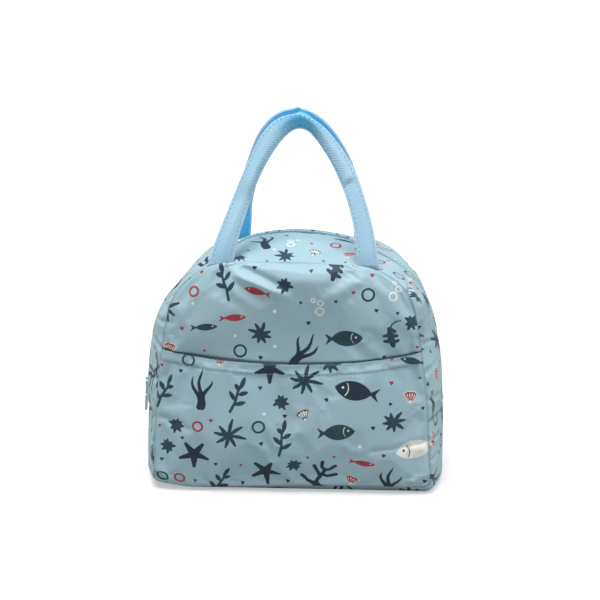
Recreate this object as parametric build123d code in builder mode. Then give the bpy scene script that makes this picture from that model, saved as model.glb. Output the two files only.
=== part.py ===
from build123d import *
import math
import os

# Soft insulated lunch bag with an arched zip mouth, two webbing handles and a front slip pocket.
# Frame: origin at the centre of the base on the ground, +Z up, front panel faces -Y, +X to the
# right as seen from the front. The zip line lies in the plane y = 0. Lengths are millimetres.

# ---- driving dimensions ------------------------------------------------------------------------
half_depth = 62.5            # seam plane to zip line
seam_gap = 0.1               # space from the seam plane to the cloth on either side of it
fold_z = 56.0                # height of the zip's ends, where the mouth folds open
split_gap = 0.2              # gap between cloth above and below the fold line

cloth_t = 0.7                # printed coated cloth
foam_t = 3.0                 # foam insulation
film_t = 0.4                 # foil lining
layer_gap = 0.15             # gap between stacked layers
flat_clearance = 0.5         # flat foam and foil to the inside of the gusset

# Arched outlines: half width, bottom corner radius, height where the straight leg ends, then a
# long arc and a shoulder arc (radius, degrees each); a crown arc closes the top.
seam_outline = dict(
    half=102.0, corner=12.0, leg=26.0,
    long_r=546.0, long_deg=11.7, shoulder_r=46.0, shoulder_deg=76.3,
)
# at the zip line the gusset stands proud of the seams
zip_outline = dict(
    half=114.0, corner=14.0, leg=35.0,
    long_r=472.0, long_deg=9.4, shoulder_r=78.0, shoulder_deg=50.7,
)

binding_w, binding_t = 8.0, 1.2

# handle webbing and the handle ends held in the seam
web_t = 2.6                  # webbing, folded double
tail_w, tail_h = 14.0, 14.0
tail_top = 169.0
tail_x = (-50.5, 55.2)
tail_proud = 0.05            # tails' outer face beyond the foam's
tail_clearance = 0.15        # room cut around each tail

# ---- derived -----------------------------------------------------------------------------------
# insets of the gusset layers from the outline
inset_foam = cloth_t + layer_gap
inset_film = inset_foam + foam_t + layer_gap
flat_inset = inset_film + film_t + flat_clearance

# distances of the flat layers' outer faces in front of the zip line
gusset_edge = half_depth - seam_gap
panel_face = half_depth + seam_gap + cloth_t
foam_face = gusset_edge
film_face = foam_face - foam_t - layer_gap

tail_y = -(foam_face - web_t / 2 + tail_proud)


# ---- shared shapes -----------------------------------------------------------------------------
def arc_points(cx, cz, radius, start, end):
    """Start, middle and end of an arc, angles in degrees."""
    turns = [math.radians(a) for a in (start, (start + end) / 2, end)]
    return [(cx + radius * math.cos(a), cz + radius * math.sin(a)) for a in turns]


def outline(shape, inset):
    """Adds the arched outline, shrunk by inset on every side, to the current sketch."""
    half, corner, leg = shape["half"], shape["corner"], shape["leg"]
    long_r, long_deg = shape["long_r"], shape["long_deg"]
    shoulder_r = shape["shoulder_r"]
    crown_deg = long_deg + shape["shoulder_deg"]
    # each arc meets the next tangentially, so its centre lies on their shared radius
    long_turn, crown_turn = math.radians(long_deg), math.radians(crown_deg)
    long_x = half - long_r
    shoulder_x = long_x + (long_r - shoulder_r) * math.cos(long_turn)
    shoulder_z = leg + (long_r - shoulder_r) * math.sin(long_turn)
    crown_r = shoulder_r + shoulder_x / math.cos(crown_turn)
    crown_z = shoulder_z - (crown_r - shoulder_r) * math.sin(crown_turn)

    low = arc_points(half - corner, corner, corner - inset, -90, 0)
    long_arc = arc_points(long_x, leg, long_r - inset, 0, long_deg)
    shoulder = arc_points(shoulder_x, shoulder_z, shoulder_r - inset, long_deg, crown_deg)
    crown = arc_points(0, crown_z, crown_r - inset, crown_deg, 90)

    def other(points):
        return [(-x, z) for x, z in points]

    with BuildLine() as edge_loop:
        Line(other(low)[0], low[0])
        for arc in (low, long_arc, shoulder):
            ThreePointArc(*arc)
            ThreePointArc(*other(arc))
        Line(low[2], long_arc[0])
        Line(other(low)[2], other(long_arc)[0])
        ThreePointArc(crown[0], crown[2], other(crown)[0])
    make_face(edge_loop.edges())


def wall(inset, mode=Mode.ADD):
    """Solid front half of the bag from the seam plane to the zip line."""
    with BuildSketch(Plane.XZ.offset(half_depth)) as seam_face:
        outline(seam_outline, inset)
    with BuildSketch(Plane.XZ) as zip_face:
        outline(zip_outline, inset)
    loft(sections=[seam_face.sketch, zip_face.sketch], ruled=True, mode=mode)


def shell(outer_inset, inner_inset):
    """Front half of a layer that follows the gusset, between two insets."""
    wall(outer_inset)
    wall(inner_inset, mode=Mode.SUBTRACT)


def plate(inset, face, thickness):
    """Flat panel whose outer face is at y = -face."""
    with BuildSketch(Plane.XZ.offset(face - thickness)) as panel:
        outline(seam_outline, inset)
    extrude(panel.sketch, amount=thickness)


def tail_boxes(clearance=0.0, mode=Mode.ADD):
    """The handle ends held in the front seam, grown by clearance on every side."""
    for x in tail_x:
        with BuildSketch(Plane.XY.offset(tail_top - tail_h - clearance)) as section:
            with Locations((x, tail_y)):
                Rectangle(tail_w + 2 * clearance, web_t + 2 * clearance)
        extrude(section.sketch, amount=tail_h + 2 * clearance, mode=mode)


def tail_room():
    tail_boxes(tail_clearance, Mode.SUBTRACT)


def trim_behind(far):
    """Keeps what lies less than far in front of the zip line."""
    split(bisect_by=Plane.XZ.offset(far), keep=Keep.BOTTOM)


def trim_y(near, far):
    """Keeps what lies between two distances in front of the zip line."""
    split(bisect_by=Plane.XZ.offset(near), keep=Keep.TOP)
    trim_behind(far)


def above():
    """Keeps what lies above the fold line."""
    split(bisect_by=Plane.XY.offset(fold_z + split_gap / 2), keep=Keep.TOP)


def below():
    """Keeps what lies below the fold line."""
    split(bisect_by=Plane.XY.offset(fold_z - split_gap / 2), keep=Keep.BOTTOM)


os.makedirs("parts", exist_ok=True)


def save(part, name):
    part.label = name
    export_step(part, f"parts/{name}.step")


def save_both(part, name):
    """Writes the front piece and its mirrored twin at the back."""
    save(part, "front_" + name)
    save(part.mirror(Plane.XZ), "back_" + name)


# ---- lower gusset: base and lower side walls, in cloth, foam and foil --------------------------
for name, inset, thickness in (
    ("lower_gusset", 0.0, cloth_t),
    ("lower_gusset_foam", inset_foam, foam_t),
    ("lower_gusset_lining", inset_film, film_t),
):
    with BuildPart() as gusset:
        shell(inset, inset + thickness)
        trim_behind(gusset_edge)
        below()
        mirror(about=Plane.XZ)
    save(gusset.part, name)

# ---- front and back walls: cloth, foam and foil, each cut at the fold line ---------------------
for name, inset, face, thickness in (
    ("panel", 0.0, panel_face, cloth_t),
    ("foam", flat_inset, foam_face, foam_t),
    ("lining", flat_inset, film_face, film_t),
):
    with BuildPart() as lower:
        plate(inset, face, thickness)
        below()
    save_both(lower.part, name + "_lower")

    with BuildPart() as upper:
        plate(inset, face, thickness)
        above()
        if name == "foam":
            tail_room()
    save_both(upper.part, name + "_upper")

# ---- bound seam allowance inside, along the front and back seams -------------------------------
binding_face = film_face - film_t - layer_gap

for level, keep_level in (("lower", below), ("upper", above)):
    with BuildPart() as binding:
        shell(flat_inset, flat_inset + binding_t)
        trim_y(binding_face - binding_w, binding_face)
        keep_level()
    save_both(binding.part, "seam_binding_" + level)

# ---- arched top strips beside the zip: cloth, foam and foil ------------------------------------
zip_gap_half = 5.0           # cloth edge of each top strip to the zip line
tape_inner = 0.6             # zip tape's toothed edge from the zip line
tape_outer = 14.0            # zip tape's sewn edge from the zip line
tape_t = 0.5
foam_tape_gap = 0.3          # strip foam starts this far beyond the tape
lining_lap = 2.0             # strip lining overlaps the tape by this much

for name, inset, thickness, near in (
    ("zip_strip", 0.0, cloth_t, zip_gap_half),
    ("zip_strip_foam", inset_foam, foam_t, tape_outer + foam_tape_gap),
    ("zip_strip_lining", inset_film, film_t, tape_outer - lining_lap),
):
    with BuildPart() as strip:
        shell(inset, inset + thickness)
        trim_y(near, gusset_edge)
        above()
        tail_room()
    save_both(strip.part, name)

# ---- zip tapes, rows of teeth and end stops ----------------------------------------------------
teeth_inner, teeth_outer = 0.5, 2.9   # edges of a row from the zip line
teeth_rise = 1.0                      # how far the teeth stand above the cloth
teeth_depth = cloth_t + 0.05          # inset of the teeth's inner face
teeth_start = 2.8                     # first teeth above the fold line
slider_room_h = 16.6                  # front left row starts this far above the fold line
slider_room_w, slider_room_d = 60.0, 20.0

stop_rise = teeth_rise - 0.1
stop_depth = cloth_t - 0.15
stop_low, stop_high = 0.3, 2.4        # ends of the stops above the fold line

with BuildPart() as zip_tape:
    shell(inset_foam, inset_foam + tape_t)
    trim_y(tape_inner, tape_outer)
    above()
save_both(zip_tape.part, "zip_tape")

with BuildPart() as zip_teeth:
    shell(-teeth_rise, teeth_depth)
    trim_y(teeth_inner, teeth_outer)
    split(bisect_by=Plane.XY.offset(fold_z + teeth_start), keep=Keep.TOP)
save(zip_teeth.part.mirror(Plane.XZ), "back_zip_teeth")

# the left end of the front row starts above the slider
with BuildPart() as front_zip_teeth:
    add(zip_teeth.part)
    with Locations((-zip_outline["half"], 0, fold_z)):
        Box(slider_room_w, slider_room_d, 2 * slider_room_h, mode=Mode.SUBTRACT)
save(front_zip_teeth.part, "front_zip_teeth")

with BuildPart() as zip_end_stops:
    shell(-stop_rise, stop_depth)
    trim_behind(teeth_outer)
    split(bisect_by=Plane.XY.offset(fold_z + stop_low), keep=Keep.TOP)
    split(bisect_by=Plane.XY.offset(fold_z + stop_high), keep=Keep.BOTTOM)
    mirror(about=Plane.XZ)
save(zip_end_stops.part, "zip_end_stops")

# ---- frame of the zip slider, which sits on the left long arc of the zip -----------------------
slider_angle = 3.8           # slider's place on the arc with the zip closed, in degrees

arc_r = zip_outline["long_r"]
arc_x = arc_r - zip_outline["half"]
arc_z = zip_outline["leg"]
turn = math.radians(slider_angle)
zip_up = Vector(math.sin(turn), 0, math.cos(turn))
zip_out = Vector(-math.cos(turn), 0, math.sin(turn))
slider_mid = Vector(arc_x - arc_r * math.cos(turn), 0, arc_z + arc_r * math.sin(turn))


def on_arc(out):
    """Plane at the slider's middle, out from the cloth and facing away from the bag, Y up the zip."""
    return Plane(
        origin=slider_mid + zip_out * out, x_dir=zip_up.cross(zip_out), z_dir=zip_out
    )


# ---- zip slider: outer and inner plates, post between them, bridge with a hole for the pin -----
slider_w, slider_l = 8.0, 11.0
slider_low_r, slider_high_r = 1.2, 2.6   # corner radii at the lower and upper ends
outer_plate_t, inner_plate_t = 1.2, 1.0
outer_plate_out = teeth_rise + 0.3       # inner face of the outer plate
inner_plate_out = -(inset_foam + tape_t + 0.9)   # outer face of the inner plate
post_w, post_l = 0.7, 3.0
post_from_top = 2.2                      # post's middle below the slider's upper end
post_sink = 0.05                         # post's overlap with each plate
bridge_w, bridge_l, bridge_h = 1.8, 6.4, 2.6
bridge_corner = 0.6
bridge_sink = 0.01
pin_out = outer_plate_out + outer_plate_t + 1.4
pin_r, pin_hole_r = 0.70, 0.78
pin_hole_l = 6.0


def pin_start(length):
    """Plane at the front end of a pin of this length, facing the back."""
    return Plane(origin=on_arc(pin_out).origin + Vector(0, -length / 2, 0), z_dir=(0, 1, 0))


with BuildPart() as zip_slider:
    for out, thickness in (
        (outer_plate_out, outer_plate_t),
        (inner_plate_out - inner_plate_t, inner_plate_t),
    ):
        with BuildSketch(on_arc(out)):
            Rectangle(slider_w, slider_l)
            fillet(vertices().group_by(Axis.Y)[0], slider_low_r)
            fillet(vertices().group_by(Axis.Y)[-1], slider_high_r)
        extrude(amount=thickness)
    with BuildSketch(on_arc(inner_plate_out - post_sink)):
        with Locations((0, slider_l / 2 - post_from_top)):
            Rectangle(post_w, post_l)
    extrude(amount=outer_plate_out - inner_plate_out + 2 * post_sink)
    with BuildSketch(on_arc(outer_plate_out + outer_plate_t - bridge_sink)):
        RectangleRounded(bridge_w, bridge_l, bridge_corner)
    extrude(amount=bridge_h)
    with BuildSketch(pin_start(pin_hole_l)):
        Circle(pin_hole_r)
    extrude(amount=pin_hole_l, mode=Mode.SUBTRACT)
save(zip_slider.part, "zip_slider")

# ---- zip pull: forked arm, wider grip with a hole, and the pin across the fork -----------------
pull_arm_w, pull_slot_w = 1.3, 2.4
pull_w = pull_slot_w + 2 * pull_arm_w
pull_l, pull_t = 25.0, 1.2
pull_corner = 1.0
pull_nose = 1.15             # reach past the pin, less than the pin's height over the slider
slot_depth = 5.4             # slot's closed end below the pin
slot_cut_l = 20.0            # long enough to open the slot at the top
grip_w, grip_l = pull_w + 1.6, 13.0
grip_corner = 2.0
grip_y = -(pull_l - 8.5)     # middle of the grip, from the pin
grip_hole_y = -(pull_l - 5.6)
grip_hole_r = 1.3
pin_l = pull_w - 0.1

with BuildPart() as zip_pull:
    with BuildSketch(on_arc(pin_out - pull_t / 2)):
        with Locations((0, -(pull_l / 2 - pull_nose))):
            RectangleRounded(pull_w, pull_l, pull_corner)
        with Locations((0, grip_y)):
            RectangleRounded(grip_w, grip_l, grip_corner)
        with Locations((0, slot_cut_l / 2 - slot_depth)):
            Rectangle(pull_slot_w, slot_cut_l, mode=Mode.SUBTRACT)
        with Locations((0, grip_hole_y)):
            Circle(grip_hole_r, mode=Mode.SUBTRACT)
    extrude(amount=pull_t)
    with BuildSketch(pin_start(pin_l)):
        Circle(pin_r)
    extrude(amount=pin_l)
save(zip_pull.part, "zip_pull")

# ---- front slip pocket, cut at the fold line ---------------------------------------------------
pocket_slack = 1.0           # space between front panel and pocket cloth
pocket_in = panel_face + pocket_slack
mouth_mid_z = 99.5           # pocket mouth at its middle
mouth_end_z = 112.8          # mouth arc at its ends, which lie outside the bag
mouth_end_x = 120.0
mouth_cut_top, mouth_cut_bottom = 200.0, -10.0   # clear of the pocket
hem_w = 8.0                  # folded hem along the pocket mouth

with BuildPart() as front_pocket_lower:
    plate(0.0, pocket_in + cloth_t, cloth_t)
    below()
save(front_pocket_lower.part, "front_pocket_lower")


def mouth_cut(drop, far_z):
    """Cuts the region from the sagging pocket mouth, lowered by drop, to the height far_z."""
    end_z = mouth_end_z - drop
    left, right = (-mouth_end_x, end_z), (mouth_end_x, end_z)
    with BuildLine() as cut:
        ThreePointArc(left, (0, mouth_mid_z - drop), right)
        Polyline(right, (mouth_end_x, far_z), (-mouth_end_x, far_z), left)
    make_face(cut.edges(), mode=Mode.SUBTRACT)


with BuildPart() as front_pocket_upper:
    with BuildSketch(Plane.XZ.offset(pocket_in)):
        outline(seam_outline, 0.0)
        mouth_cut(0.0, mouth_cut_top)
    extrude(amount=cloth_t)
    # hem folded to the inside
    with BuildSketch(Plane.XZ.offset(pocket_in - cloth_t)):
        outline(seam_outline, 0.0)
        mouth_cut(0.0, mouth_cut_top)
        mouth_cut(hem_w, mouth_cut_bottom)
    extrude(amount=cloth_t)
    above()
save(front_pocket_upper.part, "front_pocket_upper")

# ---- webbing handles ---------------------------------------------------------------------------
handle_lean = 28.0           # each handle leans in over the top at rest, in degrees
handle_pivot_y = -64.2
handle_pivot_z = 174.6

# handle edges in its own leaning plane, left foot to right foot: across, along
handle_outer = [
    (-59.5, 1.0), (-53.0, 19.0), (-47.1, 36.5), (-40.9, 55.0), (-35.0, 71.5), (-29.6, 85.5),
    (-24.2, 96.5), (-17.0, 106.0), (-8.0, 111.8), (2.5, 113.5), (12.0, 110.4), (20.8, 103.6),
    (28.3, 95.3), (34.8, 86.8), (40.4, 78.0), (45.4, 68.0), (50.2, 55.0), (54.0, 43.0),
    (57.6, 29.5), (60.4, 17.0), (62.8, 1.0),
]
handle_inner = [
    (-41.6, 1.0), (-37.6, 19.0), (-34.0, 33.0), (-30.6, 45.0), (-27.8, 54.5), (-24.2, 64.8),
    (-18.8, 76.8), (-12.4, 87.8), (-5.8, 96.4), (1.0, 101.2), (5.4, 101.4), (11.2, 98.0),
    (18.6, 89.2), (26.4, 77.3), (32.6, 64.6), (37.9, 50.8), (41.9, 37.3), (44.9, 24.0),
    (46.7, 11.0), (47.6, 1.0),
]

lean = math.radians(handle_lean)
handle_plane = Plane(
    origin=(0, handle_pivot_y, handle_pivot_z),
    x_dir=(1, 0, 0),
    z_dir=(0, -math.cos(lean), math.sin(lean)),
)
with BuildPart() as handle:
    with BuildSketch(handle_plane.offset(-web_t / 2)):
        with BuildLine():
            Spline(*handle_outer)
            Line(handle_outer[-1], handle_inner[-1])
            Spline(*handle_inner)
            Line(handle_inner[0], handle_outer[0])
        make_face()
    extrude(amount=web_t)
save_both(handle.part, "handle")

with BuildPart() as handle_tails:
    tail_boxes()
save_both(handle_tails.part, "handle_tails")
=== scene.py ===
"""Soft insulated lunch bag with a domed front and back, an arched zip and two webbing handles.

Lengths are millimetres until a mesh is made. Seen from the front, x runs to the right; the front
faces -y and z is up. The base lies near z = 0 and the zip arches over the bag in the plane y = 0.
"""
import math

import bpy
import numpy as np
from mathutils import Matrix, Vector


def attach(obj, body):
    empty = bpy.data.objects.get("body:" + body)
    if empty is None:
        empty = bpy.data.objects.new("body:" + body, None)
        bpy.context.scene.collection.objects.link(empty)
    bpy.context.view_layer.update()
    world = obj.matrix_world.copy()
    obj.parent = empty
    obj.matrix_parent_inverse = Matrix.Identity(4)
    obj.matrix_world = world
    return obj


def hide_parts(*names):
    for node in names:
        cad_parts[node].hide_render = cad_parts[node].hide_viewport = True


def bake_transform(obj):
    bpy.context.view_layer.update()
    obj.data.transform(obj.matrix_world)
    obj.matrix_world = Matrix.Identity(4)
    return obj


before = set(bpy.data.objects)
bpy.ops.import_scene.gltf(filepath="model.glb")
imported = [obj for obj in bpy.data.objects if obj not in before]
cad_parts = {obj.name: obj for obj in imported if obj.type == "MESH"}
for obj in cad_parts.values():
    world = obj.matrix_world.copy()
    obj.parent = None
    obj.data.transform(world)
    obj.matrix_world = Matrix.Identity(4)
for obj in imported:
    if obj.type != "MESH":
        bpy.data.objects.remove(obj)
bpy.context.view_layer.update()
MM = 0.001

HALF_DEPTH = 62.5  # from the zip line to the front or back seam
CLOTH_END = HALF_DEPTH - 0.9  # where the side cloth stops, short of the seam
LINING_END = HALF_DEPTH - 4.4
ZIP_EDGE = 3.4  # folded edge of a zip strip, from the zip line
PANEL_INSET = 1.1
PANEL_HEIGHT = 172.0
GRID = 12  # grids are a whole number of these cells, so that coarse copies share their edges
RELAX_STEP = 6  # the cloth simulation moves every sixth row and column
COARSE = 4  # inner faces of cloth keep every fourth row and column
FOLD_Z = 56.0  # height at which the lower gusset meets the zip strips
SIDES = ((-1, "front"), (1, "back"))

# Outlines in x and z: half width, base corner radius, top of the straight leg, then the radius
# and sweep in degrees of the long side arc and of the shoulder arc.
SEAM = dict(half=102.0, corner=7.5, leg=26.0, long_r=546.0, long_turn=11.7,
            shoulder_r=46.0, shoulder_turn=76.3)
MID = dict(half=114.0, corner=10.0, leg=35.0, long_r=472.0, long_turn=9.4,
           shoulder_r=78.0, shoulder_turn=50.7)


# ---------------------------------------------------------------- small maths
def ease(start, end, x):
    """Smooth step from 0 at start to 1 at end; start may be the larger."""
    t = np.clip((x - start) / (end - start), 0, 1)
    return t * t * (3 - 2 * t)


def bell(x, middle, width):
    return np.exp(-(((x - middle) / width) ** 2))


def edge_roll(distance, reach):
    return np.exp(-np.maximum(distance, 0) / reach)


def unit(vectors):
    return vectors / np.maximum(np.linalg.norm(vectors, axis=-1, keepdims=True), 1e-9)


def arc_length(points):
    steps = np.linalg.norm(np.diff(points, axis=0), axis=1)
    return np.concatenate([[0], np.cumsum(steps)])


def sample(at, run, values):
    """Columns of values, known at the distances run, interpolated at the distances at."""
    return np.stack([np.interp(at, run, column) for column in values.T], -1)


def noise2(x, y, seed, scale, octaves=3):
    """Value noise, -1 to 1, the same every run."""
    out = np.zeros(np.broadcast(x, y).shape)
    amplitude, total = 1.0, 0.0
    for octave in range(octaves):
        table = np.random.default_rng(seed + 17 * octave).uniform(-1, 1, (64, 64))
        cell_x = np.asarray(x) / scale * (2**octave)
        cell_y = np.asarray(y) / scale * (2**octave)
        i, j = np.floor(cell_x).astype(int), np.floor(cell_y).astype(int)
        tx, ty = cell_x - i, cell_y - j
        tx, ty = tx * tx * (3 - 2 * tx), ty * ty * (3 - 2 * ty)
        low = table[i % 64, j % 64] * (1 - tx) + table[(i + 1) % 64, j % 64] * tx
        high = table[i % 64, (j + 1) % 64] * (1 - tx) + table[(i + 1) % 64, (j + 1) % 64] * tx
        out = out + amplitude * (low * (1 - ty) + high * ty)
        total += amplitude
        amplitude *= 0.5
    return out / total


# ---------------------------------------------------------------- outlines
def arcs(shape):
    """Centres of the long, shoulder and crown arcs on the right; end angles; crown radius."""
    shoulder_r = shape["shoulder_r"]
    long_centre = np.array([shape["half"] - shape["long_r"], shape["leg"]])
    long_end = math.radians(shape["long_turn"])
    shoulder_end = math.radians(shape["long_turn"] + shape["shoulder_turn"])
    direction = np.array([math.cos(long_end), math.sin(long_end)])
    shoulder = long_centre + (shape["long_r"] - shoulder_r) * direction
    crown_r = shoulder_r + shoulder[0] / math.cos(shoulder_end)
    crown = np.array([0.0, shoulder[1] - (crown_r - shoulder_r) * math.sin(shoulder_end)])
    return long_centre, shoulder, crown, long_end, shoulder_end, crown_r


def outline(shape, station):
    """Points and outward normals on the right half.

    Stations: 0 base centre, 1 to 2 corner, 3 top of leg, 3.5 fold height, 4 end of the long arc,
    5 end of the shoulder, 6 top of the crown.
    """
    station = np.asarray(station, float)
    long_centre, shoulder, crown, long_end, shoulder_end, crown_r = arcs(shape)
    half, corner, leg = shape["half"], shape["corner"], shape["leg"]
    points = np.zeros(station.shape + (2,))
    normals = np.zeros(station.shape + (2,))
    on = station <= 1
    t = station[on]
    points[on] = np.stack([t * (half - corner), 0 * t], -1)
    normals[on] = (0, -1)
    on = (station > 2) & (station <= 3)
    t = station[on] - 2
    points[on] = np.stack([half + 0 * t, corner + t * (leg - corner)], -1)
    normals[on] = (1, 0)
    long_r = shape["long_r"]
    fold = math.asin((FOLD_Z - leg) / long_r)
    corner_centre = np.array([half - corner, corner])
    # first and last station, centre, radius, first and last angle
    for first, last, centre, radius, angle_0, angle_1 in (
        (1, 2, corner_centre, corner, -math.pi / 2, 0.0),
        (3, 3.5, long_centre, long_r, 0.0, fold),
        (3.5, 4, long_centre, long_r, fold, long_end),
        (4, 5, shoulder, shape["shoulder_r"], long_end, shoulder_end),
        (5, 6, crown, crown_r, shoulder_end, math.pi / 2),
    ):
        on = (station > first) & (station <= last)
        angle = angle_0 + (station[on] - first) / (last - first) * (angle_1 - angle_0)
        normals[on] = np.stack([np.cos(angle), np.sin(angle)], -1)
        points[on] = centre + radius * normals[on]
    return points, normals


def sided_outline(shape, station, side):
    """The outline on the right where side is 1 and on the left where it is -1."""
    points, normals = outline(shape, station)
    points[:, 0] *= side
    normals[:, 0] *= side
    return points, normals


def boundary(station, inset=PANEL_INSET):
    points, normals = outline(SEAM, station)
    return points - normals * inset


# ---------------------------------------------------------------- mesh helpers
def mesh_object(name, points, *face_groups):
    """Each group is an array of faces with equal corners."""
    mesh = bpy.data.meshes.new(name)
    points = np.asarray(points, float).reshape(-1, 3)
    loops = np.concatenate([faces.ravel() for faces in face_groups])
    sizes = np.concatenate([np.full(len(faces), faces.shape[1]) for faces in face_groups])
    starts = np.concatenate([[0], np.cumsum(sizes)[:-1]])
    mesh.vertices.add(len(points))
    mesh.vertices.foreach_set("co", (points * MM).astype(np.float32).ravel())
    mesh.loops.add(len(loops))
    mesh.loops.foreach_set("vertex_index", loops.astype(np.int32))
    mesh.polygons.add(len(sizes))
    mesh.polygons.foreach_set("loop_start", starts.astype(np.int32))
    mesh.polygons.foreach_set("use_smooth", np.ones(len(sizes), bool))
    mesh.update(calc_edges=True)
    mesh.validate()
    ob = bpy.data.objects.new(name, mesh)
    bpy.context.scene.collection.objects.link(ob)
    return ob


def attribute(ob, name, values):
    layer = ob.data.attributes.new(name, "FLOAT", "POINT")
    layer.data.foreach_set("value", np.asarray(values, np.float32).ravel())


def grid_quads(rows, columns, base=0, flip=False):
    i, j = np.meshgrid(np.arange(rows - 1), np.arange(columns - 1), indexing="ij")
    a = base + i * columns + j
    quads = np.stack([a, a + 1, a + columns + 1, a + columns], -1).reshape(-1, 4)
    return quads[:, ::-1] if flip else quads


def grid_normals(points):
    return unit(np.cross(np.gradient(points, axis=1), np.gradient(points, axis=0)))


def edge_distance(points):
    """Distance to the nearest edge of a grid, taken along its rows and columns."""
    nearest = []
    for axis in (0, 1):
        lines = np.swapaxes(points, 0, axis)
        steps = np.cumsum(np.linalg.norm(np.diff(lines, axis=0), axis=-1), 0)
        run = np.concatenate([np.zeros((1, lines.shape[1])), steps])
        nearest.append(np.swapaxes(np.minimum(run, run[-1:] - run), 0, axis))
    return np.minimum(*nearest)


def outward(points, attrs, way, column=None):
    """Swaps rows with columns, then turns the grid so that its middle normal looks along way."""
    points = np.swapaxes(points, 0, 1)
    attrs = {name: np.swapaxes(value, 0, 1) for name, value in attrs.items()}
    middle = grid_normals(points)[points.shape[0] // 2, column or points.shape[1] // 2]
    if np.dot(middle, way) < 0:
        points = points[::-1]
        attrs = {name: value[::-1] for name, value in attrs.items()}
    return points, attrs


def shell(name, outer, thick, attrs, coarse=1):
    """A closed sheet under the grid outer; coarse thins out the grid of its inner face."""
    rows, columns = outer.shape[:2]
    inner = (outer - grid_normals(outer) * thick)[::coarse, ::coarse]
    rows_in, columns_in = inner.shape[:2]
    count, count_in = rows * columns, rows_in * columns_in

    def rim_loop(index):
        return np.concatenate([index[0, :], index[1:, -1], index[-1, -2::-1], index[-2:0:-1, 0]])

    ring = rim_loop(np.arange(count).reshape(rows, columns))
    ring_in = rim_loop(np.arange(count_in).reshape(rows_in, columns_in)) + count
    following, following_in = np.roll(ring, -1), np.roll(ring_in, -1)
    if coarse == 1:
        rim = [np.stack([following, ring, ring_in, following_in], -1)]
    else:
        # triangles fan from each inner point, with one more to close each coarse cell
        cell = np.arange(len(ring)) // coarse
        late = (np.arange(len(ring)) % coarse) >= coarse // 2
        near_in = np.where(late, following_in[cell], ring_in[cell])
        mid = ring[np.arange(len(ring_in)) * coarse + coarse // 2]
        rim = [
            np.stack([following, ring, near_in], -1),
            np.stack([mid, ring_in, following_in], -1),
        ]
    points = np.concatenate([outer.reshape(-1, 3), inner.reshape(-1, 3)])
    inner_quads = grid_quads(rows_in, columns_in, count, True)
    ob = mesh_object(name, points, grid_quads(rows, columns), inner_quads, *rim)
    for key, value in attrs.items():
        value = np.broadcast_to(value, (rows, columns))
        both = np.concatenate([value.ravel(), value[::coarse, ::coarse].ravel()])
        attribute(ob, key, both)
    attribute(ob, "inner_side", np.concatenate([np.zeros(count), np.ones(count_in)]))
    return ob


def cloth_shell(name, outer, thick, ink):
    """Printed sheet that also knows how near its sewn edges are."""
    seam = np.minimum(edge_distance(outer), 6)
    return shell(name, outer, thick, ink | {"seam": seam}, COARSE)


def tubes(centres, first_axis, second_axis, radius, sides):
    """Points and quads of open tubes; centres is tubes x rings x 3, radius one for each ring."""
    angle = np.linspace(0, 2 * math.pi, sides, endpoint=False)[None, None, :, None]
    circle_points = np.cos(angle) * first_axis[:, :, None] + np.sin(angle) * second_axis[:, :, None]
    points = centres[:, :, None] + radius[None, :, None, None] * circle_points
    count, rings = centres.shape[:2]
    i, j = np.meshgrid(np.arange(rings - 1), np.arange(sides), indexing="ij")
    a, b = i * sides + j, i * sides + (j + 1) % sides
    one = np.stack([a, b, b + sides, a + sides], -1)[None]
    first = np.arange(count)[:, None, None, None] * rings * sides
    return points.reshape(-1, 3), (first + one).reshape(-1, 4)


def stitches(name, path, normals, pitch, length, radius, lift):
    """A row of stitches: each is a small thread that dips into the cloth at both ends."""
    rings, sides = 7, 6
    run = arc_length(path)
    starts = np.arange(pitch * 0.4, run[-1] - length, pitch)
    t = np.linspace(0, 1, rings)
    bow = np.sin(t * math.pi) ** 0.6
    at = starts[:, None] + t[None] * length

    def lay(values):
        return np.stack([np.interp(at, run, values[:, i]) for i in range(3)], -1)

    centre, normal = lay(path), unit(lay(normals))
    sideways = np.cross(unit(np.gradient(centre, axis=1)), normal)
    centre = centre + normal * (lift + radius * (bow[None, :, None] * 1.5 - 1.0))
    thickness = radius * (0.35 + 0.65 * bow)
    points, quads = tubes(centre, normal, sideways, thickness, sides)
    caps = []
    for row, order in ((0, -1), (rings - 1, 1)):
        first = np.arange(len(starts))[:, None] * rings * sides + row * sides
        for corners in ((0, 1, 2, 3), (0, 3, 4, 5)):
            caps.append((first + np.array(corners))[:, ::order])
    return mesh_object(name, points, quads, *caps)


# ---------------------------------------------------------------- cloth relaxing
CLOTH = dict(
    quality=6, mass=0.15, tension_stiffness=12, compression_stiffness=12, shear_stiffness=4,
    bending_stiffness=0.5, vertex_group_mass="pin", pin_stiffness=1.0, use_pressure=True,
)
CLOTH_FRAMES = 22


def refine(coarse, factor):
    """Catmull-Rom upsampling of a coarse grid in both directions."""

    def one_way(grid):
        count = grid.shape[0]
        before, after = 2 * grid[:1] - grid[1:2], 2 * grid[-1:] - grid[-2:-1]
        padded = np.concatenate([before, grid, after])
        out = np.empty(((count - 1) * factor + 1,) + grid.shape[1:])
        for k in range(factor):
            t = k / factor
            weights = (
                -0.5 * t + t * t - 0.5 * t**3,
                1 - 2.5 * t * t + 1.5 * t**3,
                0.5 * t + 2 * t * t - 1.5 * t**3,
                -0.5 * t * t + 0.5 * t**3,
            )
            out[k:-1:factor] = sum(weights[i] * padded[i : i + count - 1] for i in range(4))
        out[-1] = grid[-1]
        return out

    return np.swapaxes(one_way(np.swapaxes(one_way(coarse), 0, 1)), 0, 1)


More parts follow.
